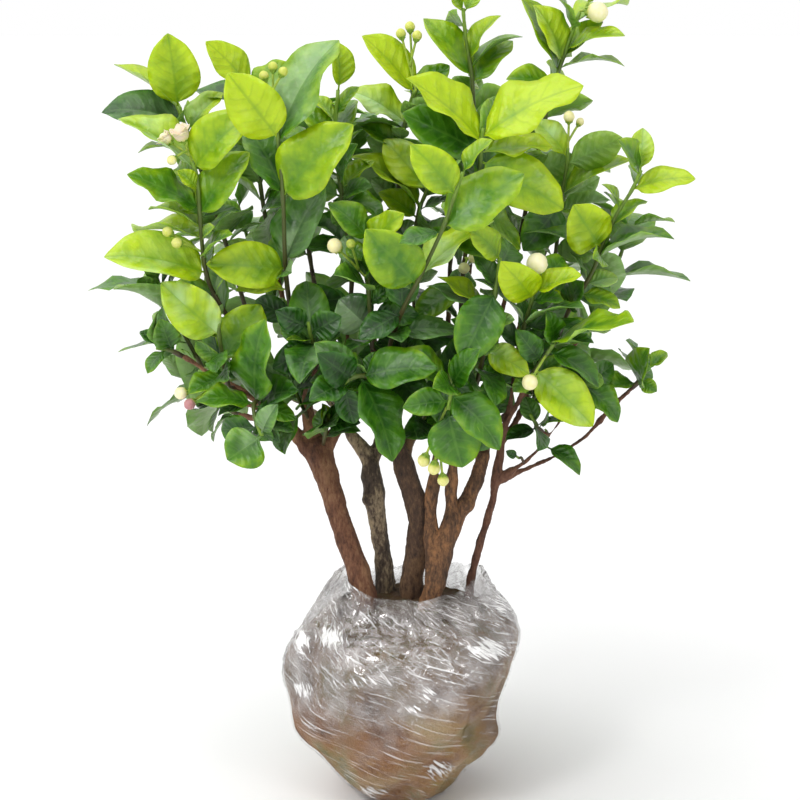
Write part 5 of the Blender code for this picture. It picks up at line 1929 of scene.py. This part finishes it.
@dataclass(frozen=True)
class Ball:
    """The form of the wrapped root ball. A row is a height, and the reach to left, right, front and back."""

    rows: tuple = (
        (0, 0, 0, 0, 0), (0, 23, 25, 22, 22), (4, 32, 33, 32, 32), (15, 43, 42, 44, 44),
        (28, 56, 55, 55, 55), (43, 67, 59, 62, 61), (61, 71.5, 62, 66, 65), (80, 71, 70.5, 67, 66),
        (98, 70, 72.5, 65, 64), (111, 61, 69, 57, 57), (121, 52, 61, 47, 48), (129, 46, 54, 40, 41),
    )
    lump: float = 0.035
    lump_top: float = 125 * MM
    girth: float = 66 * MM
    swell: float = 2.2 * MM
    swell_size: float = 30 * MM

    @staticmethod
    def row_at(rows: tuple, share: float) -> list[float]:
        """The row at a share of a profile, read smoothly between its rows.

        Args:
            rows: The profile.
            share: The share of it.

        Returns:
            The row.
        """
        place = min(share, 0.99999) * (len(rows) - 1)
        index = int(place)
        t = place - index
        a, b, c, d = (rows[min(max(index + step, 0), len(rows) - 1)] for step in (-1, 0, 1, 2))
        row = []
        for p, q, r, s in zip(a, b, c, d):
            bend = (2 * p - 5 * q + 4 * r - s) * t**2 + (3 * q - p - 3 * r + s) * t**3
            row.append((2 * q + (r - p) * t + bend) / 2)
        return row

    def point(self, rows: tuple, share: float, angle: float) -> Vector:
        """The point of a profile at a share of it and an angle round the ball.

        Args:
            rows: The profile.
            share: The share of it.
            angle: The angle in radians.

        Returns:
            The point.
        """
        height, left, right, front, back = self.row_at(rows, share)
        sideways = math.cos(angle)
        deep = math.sin(angle)
        reach = (right if sideways > 0 else left) * sideways**2 + (back if deep > 0 else front) * deep**2
        level = max(0.0, height * MM)
        wave = math.sin(3 * angle + level * 60) + 0.8 * math.sin(5 * angle - level * 95 + 1.3)
        out = reach * MM * (1 + self.lump * wave * math.sin(math.pi * min(1.0, level / self.lump_top)))
        return Vector((out * sideways, out * deep, level))

    def relief(self, spot: Vector) -> float:
        """How far the clods and the folds that the film pulls push a point of the ball out, in metres.

        Args:
            spot: A point of the plain form.

        Returns:
            The distance, which both the soil and the film follow.
        """
        turn = math.degrees(math.atan2(spot.x, -spot.y))
        total = self.swell * noise.noise(spot / self.swell_size) * ease(4 * MM, 20 * MM, spot.z)
        for lobe in LOBES:
            around = math.radians((turn - lobe.turn + 180) % 360 - 180) * self.girth
            gap = math.hypot(around, spot.z - lobe.height * MM) / (lobe.spread * MM)
            if gap < 3:
                total += lobe.rise * MM * math.exp(-(gap**2))
        return total

    def skin(self, rows: tuple, around: int, rings: int, kept: int) -> BMesh:
        """A fine ball on a profile, cut open at the top where it keeps fewer rings than it has.

        Args:
            rows: The profile.
            around: The number of faces round it.
            rings: The number of rings of faces.
            kept: The rings that the profile is spread over.

        Returns:
            The mesh.
        """
        bm = bmesh.new()
        bmesh.ops.create_uvsphere(bm, u_segments=around, v_segments=rings, radius=1.0)
        gone = []
        for vert in bm.verts:
            level = math.acos(max(-1.0, min(1.0, -vert.co.z))) / math.pi * rings
            if level > kept + 0.5:
                gone.append(vert)
            else:
                vert.co = self.point(rows, level / kept, math.atan2(vert.co.y, vert.co.x))
        bmesh.ops.delete(bm, geom=gone, context="VERTS")
        return bm


RED, OLIVE, TAN = range(3)
STAINS = (
    Oval(312, 722, 34, 22, RED), Oval(362, 738, 44, 20, RED), Oval(410, 762, 40, 18, RED),
    Oval(392, 628, 20, 18, RED), Oval(436, 722, 34, 24, TAN), Oval(405, 700, 22, 12, TAN),
    Oval(470, 775, 30, 14, TAN), Oval(375, 786, 24, 10, TAN), Oval(490, 680, 24, 44, OLIVE),
    Oval(484, 735, 26, 22, OLIVE), Oval(300, 676, 16, 24, OLIVE), Oval(386, 674, 22, 16, OLIVE),
)


@dataclass
class Soil:
    """The root ball's soil: clods and crumbs, with a dark crumbly top between the trunks."""

    film: "Film"
    around: int = 200
    rings: int = 130
    inset: float = 1.2 * MM
    shrunk: float = 2.8 * MM
    clod: float = 0.8 * MM
    clod_size: float = 12 * MM
    crumb: float = 0.3 * MM
    crumb_size: float = 3.5 * MM
    lump: float = 1.6 * MM
    lump_size: float = 6 * MM
    top_crumb: float = 1.0 * MM
    rim_from: float = 104 * MM
    rim_to: float = 120 * MM
    foot: float = 1.2 * MM
    mound: tuple = (
        (119, 50.5, 59.5, 45.5, 46.5), (126, 42, 50, 36, 37), (127, 34, 42, 27, 29),
        (129.5, 22, 30, 17, 18), (131, 10, 14, 8, 8), (131.5, 0, 0, 0, 0),
    )

    def build(self, material: Material) -> Object:
        """Makes the soil.

        Args:
            material: Its material.

        Returns:
            The soil.
        """
        ball = self.film.ball
        bm = ball.skin((*ball.rows[:-2], *self.mound), self.around, self.rings, self.rings)
        bmesh.ops.recalc_face_normals(bm, faces=bm.faces)
        bm.normal_update()
        looks = bm.verts.layers.float_color.new("look")
        moves = []
        for vert in bm.verts:
            vert[looks] = self.tints(vert.co)
            clods = max(0.0, noise.noise(vert.co / self.clod_size))
            crumbs = noise.noise(vert.co / self.crumb_size)
            rim = ease(self.rim_from, self.rim_to, vert.co.z)
            top = ease(0.6, 0.95, vert.normal.z) * rim
            inward = self.inset + self.clod * clods + self.crumb * crumbs + self.shrunk * rim
            rise = self.lump * noise.noise(vert.co / self.lump_size) + self.top_crumb * crumbs
            relief = ball.relief(vert.co)
            pressed = min(0.0, self.film.fold(vert.co, math.atan2(vert.co.x, -vert.co.y)))
            side = min(relief, relief * (1 - 0.7 * rim)) + pressed - inward
            moves.append(vert.normal * (side * (1 - top) + rise * top))
        for vert, move in zip(bm.verts, moves):
            vert.co += move
            vert.co.z = max(vert.co.z, self.foot)
        return finish_piece(bm, "soil_clod", [material], ["root_ball"])

    @staticmethod
    def tints(spot: Vector) -> tuple[float, float, float, float]:
        """How red, olive and tan the soil is at a point.

        Args:
            spot: The point.

        Returns:
            The look's four values.
        """
        tints = [0.0, 0.0, 0.0, 1.0]
        if spot.y < 0:
            across, down = VIEW.place(spot)
            for stain in STAINS:
                amount = 1 - ease(0.5, 1.2, stain.gap(across, down))
                tints[stain.amount] = max(tints[stain.amount], amount)
        return tuple(tints)


class Crease(NamedTuple):
    """A fold of the film in front: its line in the view, its height in millimetres and its width in steps."""

    line: tuple
    height: float
    width: float


CREASES = (
    Crease(((352, 590), (372, 592), (400, 601), (430, 615), (460, 638), (496, 660)), 2.6, 5),
    Crease(((384, 604), (410, 616), (440, 638), (470, 662)), 1.2, 3),
    Crease(((418, 600), (452, 612), (486, 632), (508, 650)), 1.3, 3),
    Crease(((440, 594), (470, 606), (500, 628)), 1.2, 3),
    Crease(((298, 632), (304, 660), (309, 680)), 1.6, 2.5),
    Crease(((330, 690), (370, 688), (405, 690), (430, 704)), 0.9, 2.5),
    Crease(((298, 708), (350, 726), (400, 744), (450, 760), (474, 760)), 1.0, 2.5),
    Crease(((305, 722), (350, 746), (400, 766), (430, 786)), 1.1, 3),
    Crease(((405, 745), (440, 752), (466, 772)), 1.0, 3),
    Crease(((352, 604), (345, 630), (350, 655)), 1.0, 3),
)


PAINTED_HIGHLIGHTS = (
    Oval(332, 638, 12, 9, 0.9), Oval(305, 641, 6, 12, 0.8), Oval(304, 690, 8, 7, 0.7),
    Oval(430, 691, 8, 6, 0.7), Oval(415, 708, 8, 4, 0.6), Oval(487, 650, 17, 11, 0.8),
    Oval(440, 770, 14, 8, 0.6), Oval(350, 588, 9, 10, 0.5), Oval(498, 602, 12, 22, 0.5),
    Oval(300, 622, 8, 7, 0.5), Oval(360, 682, 22, 6, 0.4), Oval(372, 790, 14, 6, 0.5),
    Oval(478, 578, 8, 8, 0.6),
)


@dataclass
class Film:
    """The stretch film: one thin wall over the soil, gathered round the trunks, with folds and crumples."""

    ball: Ball
    neck: tuple = (139.5, 38, 50, 35, 36)
    ears: float = 9.5 * MM
    around: int = 280
    rings: int = 160
    kept: int = 148
    wall: float = 0.25 * MM
    slant: float = 0.42
    pull: float = 1.1 * MM
    pull_size: tuple = (42 * MM, 5.5 * MM)
    crumple: float = 1.2 * MM
    crumple_size: float = 9 * MM
    wrinkle: float = 0.9 * MM
    wrinkle_size: float = 4 * MM
    pleat: float = 0.8 * MM
    pleats: tuple = (25, 47)

    def fold(self, spot: Vector, turn: float) -> float:
        """How far the film's own folds stand out at a point, in metres.

        Args:
            spot: A point of the plain form.
            turn: Its angle round from the front.

        Returns:
            The distance beyond the ball's relief.
        """
        upper = ease(60 * MM, 95 * MM, spot.z)
        lean = 0.5 * upper * math.sin(turn * 2 + 1) - self.slant
        across = turn * self.ball.girth
        along = across * math.cos(lean) + spot.z * math.sin(lean)
        over = spot.z * math.cos(lean) - across * math.sin(lean)
        wave = noise.noise(Vector((along / self.pull_size[0], over / self.pull_size[1], 3.1)))
        pulled_fold_and_highlight = self.pull * (0.3 - abs(wave)) * (1 - 0.5 * upper)
        rough = noise.noise(spot / self.crumple_size)
        fine = noise.noise(spot / self.wrinkle_size + Vector((7, 3, 1)))
        crumple = self.crumple * (0.3 - abs(rough)) + self.wrinkle * (0.3 - abs(fine))
        broad, narrow = self.pleats
        pleats = math.sin(turn * broad + 2.6 * math.sin(turn * 4 + 1) + spot.z * 60)
        pleats += 0.6 * math.sin(turn * narrow + 1.5 * math.sin(turn * 7))
        gathered = self.pleat * pleats * ease(108 * MM, 138 * MM, spot.z)
        out = pulled_fold_and_highlight + crumple * (0.2 + 1.1 * upper) + gathered
        if spot.y < 0:
            out += self.crease(spot)
        return out * ease(2 * MM, 14 * MM, spot.z)

    @staticmethod
    def crease(spot: Vector) -> float:
        """The height of the traced folds at a point of the front, in metres.

        Args:
            spot: The point.

        Returns:
            The height.
        """
        place = Vector((*VIEW.place(spot), 0))
        total = 0.0
        for crease in CREASES:
            line = [Vector((*corner, 0)) for corner in crease.line]
            found, _ = nearest_on(line, place)
            gap = (found - place).length / crease.width
            if gap < 3:
                total += crease.height * MM * math.exp(-(gap**2))
        return total

    def haze_and_highlight(self, spot: Vector) -> tuple[float, float, float]:
        """How hazy and how crumpled the film is at a point, and how strong its painted highlight is there.

        Args:
            spot: The point.

        Returns:
            The three values.
        """
        level = spot.z - self.slant * max(0.0, spot.x) + 5 * MM * noise.noise(spot / (20 * MM))
        upper = ease(54 * MM, 84 * MM, level)
        across, down = VIEW.place(spot)
        white = 0.0
        # Painted highlights: white patches at the listed places on the front.
        if spot.y < 10 * MM:
            for place in PAINTED_HIGHLIGHTS:
                white = max(white, place.amount * (1 - ease(0.4, 1.7, place.gap(across, down))))
        rim = ease(126 * MM, 138 * MM, spot.z)
        return 0.05 + 0.25 * upper - 0.18 * rim, 0.18 + 0.82 * upper, white

    def build(self, material: Material) -> Object:
        """Makes the film.

        Args:
            material: Its material.

        Returns:
            The film.
        """
        bm = self.ball.skin((*self.ball.rows, self.neck), self.around, self.rings, self.kept)
        bmesh.ops.recalc_face_normals(bm, faces=bm.faces)
        bm.normal_update()
        looks = bm.verts.layers.float_color.new("look")
        maps = bm.loops.layers.uv.new("wrap_map")
        turns = {vert: math.atan2(vert.co.x, -vert.co.y) for vert in bm.verts}
        moves = []
        for vert in bm.verts:
            neck = ease(118 * MM, self.neck[0] * MM, vert.co.z)
            relief = self.ball.relief(vert.co) * (1 - 0.7 * neck)
            out = vert.normal * (relief + self.fold(vert.co, turns[vert]))
            ragged = 2.5 * MM * noise.noise(vert.co / (14 * MM)) + 1.0 * MM * noise.noise(vert.co / (4 * MM))
            moves.append(out + UP * (neck * (self.ears * math.sin(turns[vert]) ** 4 + ragged)))
        for vert, move in zip(bm.verts, moves):
            vert[looks] = (*self.haze_and_highlight(vert.co), 1)
            vert.co += move
            vert.co.z = max(vert.co.z, 0.0)
        for face in bm.faces:
            angles = [turns[loop.vert] for loop in face.loops]
            wraps = max(angles) - min(angles) > math.pi
            for loop, angle in zip(face.loops, angles):
                angle += 2 * math.pi if wraps and angle < 0 else 0
                loop[maps].uv = (angle * self.ball.girth, loop.vert.co.z)
        bmesh.ops.solidify(bm, geom=list(bm.faces), thickness=self.wall)
        return finish_piece(bm, "film_wrap", [material], ["stretch_film"])


@dataclass
class Studio:
    """A pale floor, soft lights and the camera."""

    floor_size: float = 60.0
    sensor: float = 36.0
    sun_power: float = 2.1
    sun_angle: float = math.radians(75)
    sun_way: tuple[float, float, float] = (0.35, 0.15, -1.0)
    sky_power: float = 0.45
    sky_shine: float = 0.7

    def floor(self, material: Material) -> None:
        """Lays the floor."""
        bm = bmesh.new()
        bmesh.ops.create_grid(bm, x_segments=1, y_segments=1, size=self.floor_size / 2)
        mesh = bpy.data.meshes.new("floor")
        bm.to_mesh(mesh)
        bm.free()
        mesh.materials.append(material)
        floor = bpy.data.objects.new("floor", mesh)
        bpy.context.scene.collection.objects.link(floor)

    @staticmethod
    def lamp(name: str, place: Vector, target: Vector, size: float, power: float) -> None:
        """Hangs a square soft lamp.

        Args:
            name: Its name.
            place: Where it hangs.
            target: What it points at.
            size: The length of its side.
            power: Its power in watts.
        """
        light = bpy.data.lights.new(name, "AREA")
        light.size = size
        light.energy = power
        lamp = bpy.data.objects.new(name, light)
        lamp.location = place
        lamp.rotation_euler = (target - place).to_track_quat("-Z", "Y").to_euler()
        bpy.context.scene.collection.objects.link(lamp)

    def sun(self) -> None:
        """Hangs a very soft overhead light that reaches the whole floor."""
        light = bpy.data.lights.new("overhead", "SUN")
        light.energy = self.sun_power
        light.angle = self.sun_angle
        lamp = bpy.data.objects.new("overhead", light)
        lamp.rotation_euler = (Vector(self.sun_way)).to_track_quat("-Z", "Y").to_euler()
        bpy.context.scene.collection.objects.link(lamp)

    def sky(self) -> None:
        """Sets up an even sky: white behind the bush, dimmer where it lights it, and clear in what shines."""
        world = bpy.data.worlds.new("studio")
        world.use_nodes = True
        tree = world.node_tree
        ray = add_node(tree, "LightPath").node.outputs
        strength = add_node(tree, "MapRange", {0: ray["Is Camera Ray"], 3: self.sky_power, 4: 1.0})
        strength = add_node(
            tree, "Math", ray["Is Glossy Ray"], self.sky_shine, strength, operation="MULTIPLY_ADD"
        )
        sky = tree.nodes["Background"]
        sky.inputs["Color"].default_value = linear("#ffffff")
        tree.links.new(strength, sky.inputs["Strength"])
        bpy.context.scene.world = world

    def camera(self) -> None:
        """Sets up the camera of the front view."""
        data = bpy.data.cameras.new("camera")
        data.sensor_width = self.sensor
        data.lens = self.sensor * VIEW.distance / (2 * VIEW.middle * VIEW.step)
        data.clip_end = 200
        camera = bpy.data.objects.new("camera", data)
        camera.location = VIEW.eye
        camera.rotation_euler = VIEW.ahead.to_track_quat("-Z", "Y").to_euler()
        bpy.context.scene.collection.objects.link(camera)
        bpy.context.scene.camera = camera

    def build(self) -> None:
        """Makes the whole set."""
        self.camera()
        self.floor(FloorFinish("pale_floor").build())
        bush = Vector((0, 0, 0.3))
        self.sun()
        self.lamp("key_panel", Vector((-0.75, -0.95, 1.15)), bush, 0.32, 5)
        self.lamp("front_panel", Vector((0.9, -1.3, 0.8)), bush, 0.35, 3)
        self.sky()
        bpy.context.scene.view_settings.view_transform = "Standard"


def main() -> None:
    """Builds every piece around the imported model."""
    logging.basicConfig(level=logging.INFO, format="%(message)s")
    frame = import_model()
    nodes = frame["nodes"]
    Studio().build()

    ball = Ball()
    film = Film(ball)
    Soil(film).build(SoilFinish("damp_soil").build())
    film.build(FilmFinish("stretch_film_layers").build())
    for name, (deep, body, pale) in BARKS.items():
        bark = BarkFinish(name.replace("trunk", "bark"), deep, body, pale).build()
        Trunk(name).build(nodes[name], bark)

    leafage = Leafage()
    clearance = Clearance(nodes)
    shoots = [LeafyShoot(plan) for plan in SHOOTS]
    laid_out = []
    for shoot in shoots:
        laid_out += [blade for blade in CadLeaves().read(nodes[shoot.plan.name]) if shoot.seen(blade)]
    clearance.show(laid_out, leafage)
    green = [StemFinish("green_stem").build(), LeafFinish("jasmine_leaf").build()]
    petals = [PetalFinish("bud_petal").build()]
    stems = {}
    for shoot in shoots:
        stems[shoot.plan.name] = shoot.stem_points()
        shoot.build(nodes[shoot.plan.name], leafage, clearance, green)
    for plan in SPROUTS:
        Sprout(plan).build(None, leafage, clearance, green)
    for plan in TWIGLETS:
        Twiglet(plan).build(None, leafage, clearance, green)
    for plan in CLUSTERS:
        BudCluster(plan, stems[plan.shoot]).build(leafage, petals)


if __name__ == "__main__":
    main()
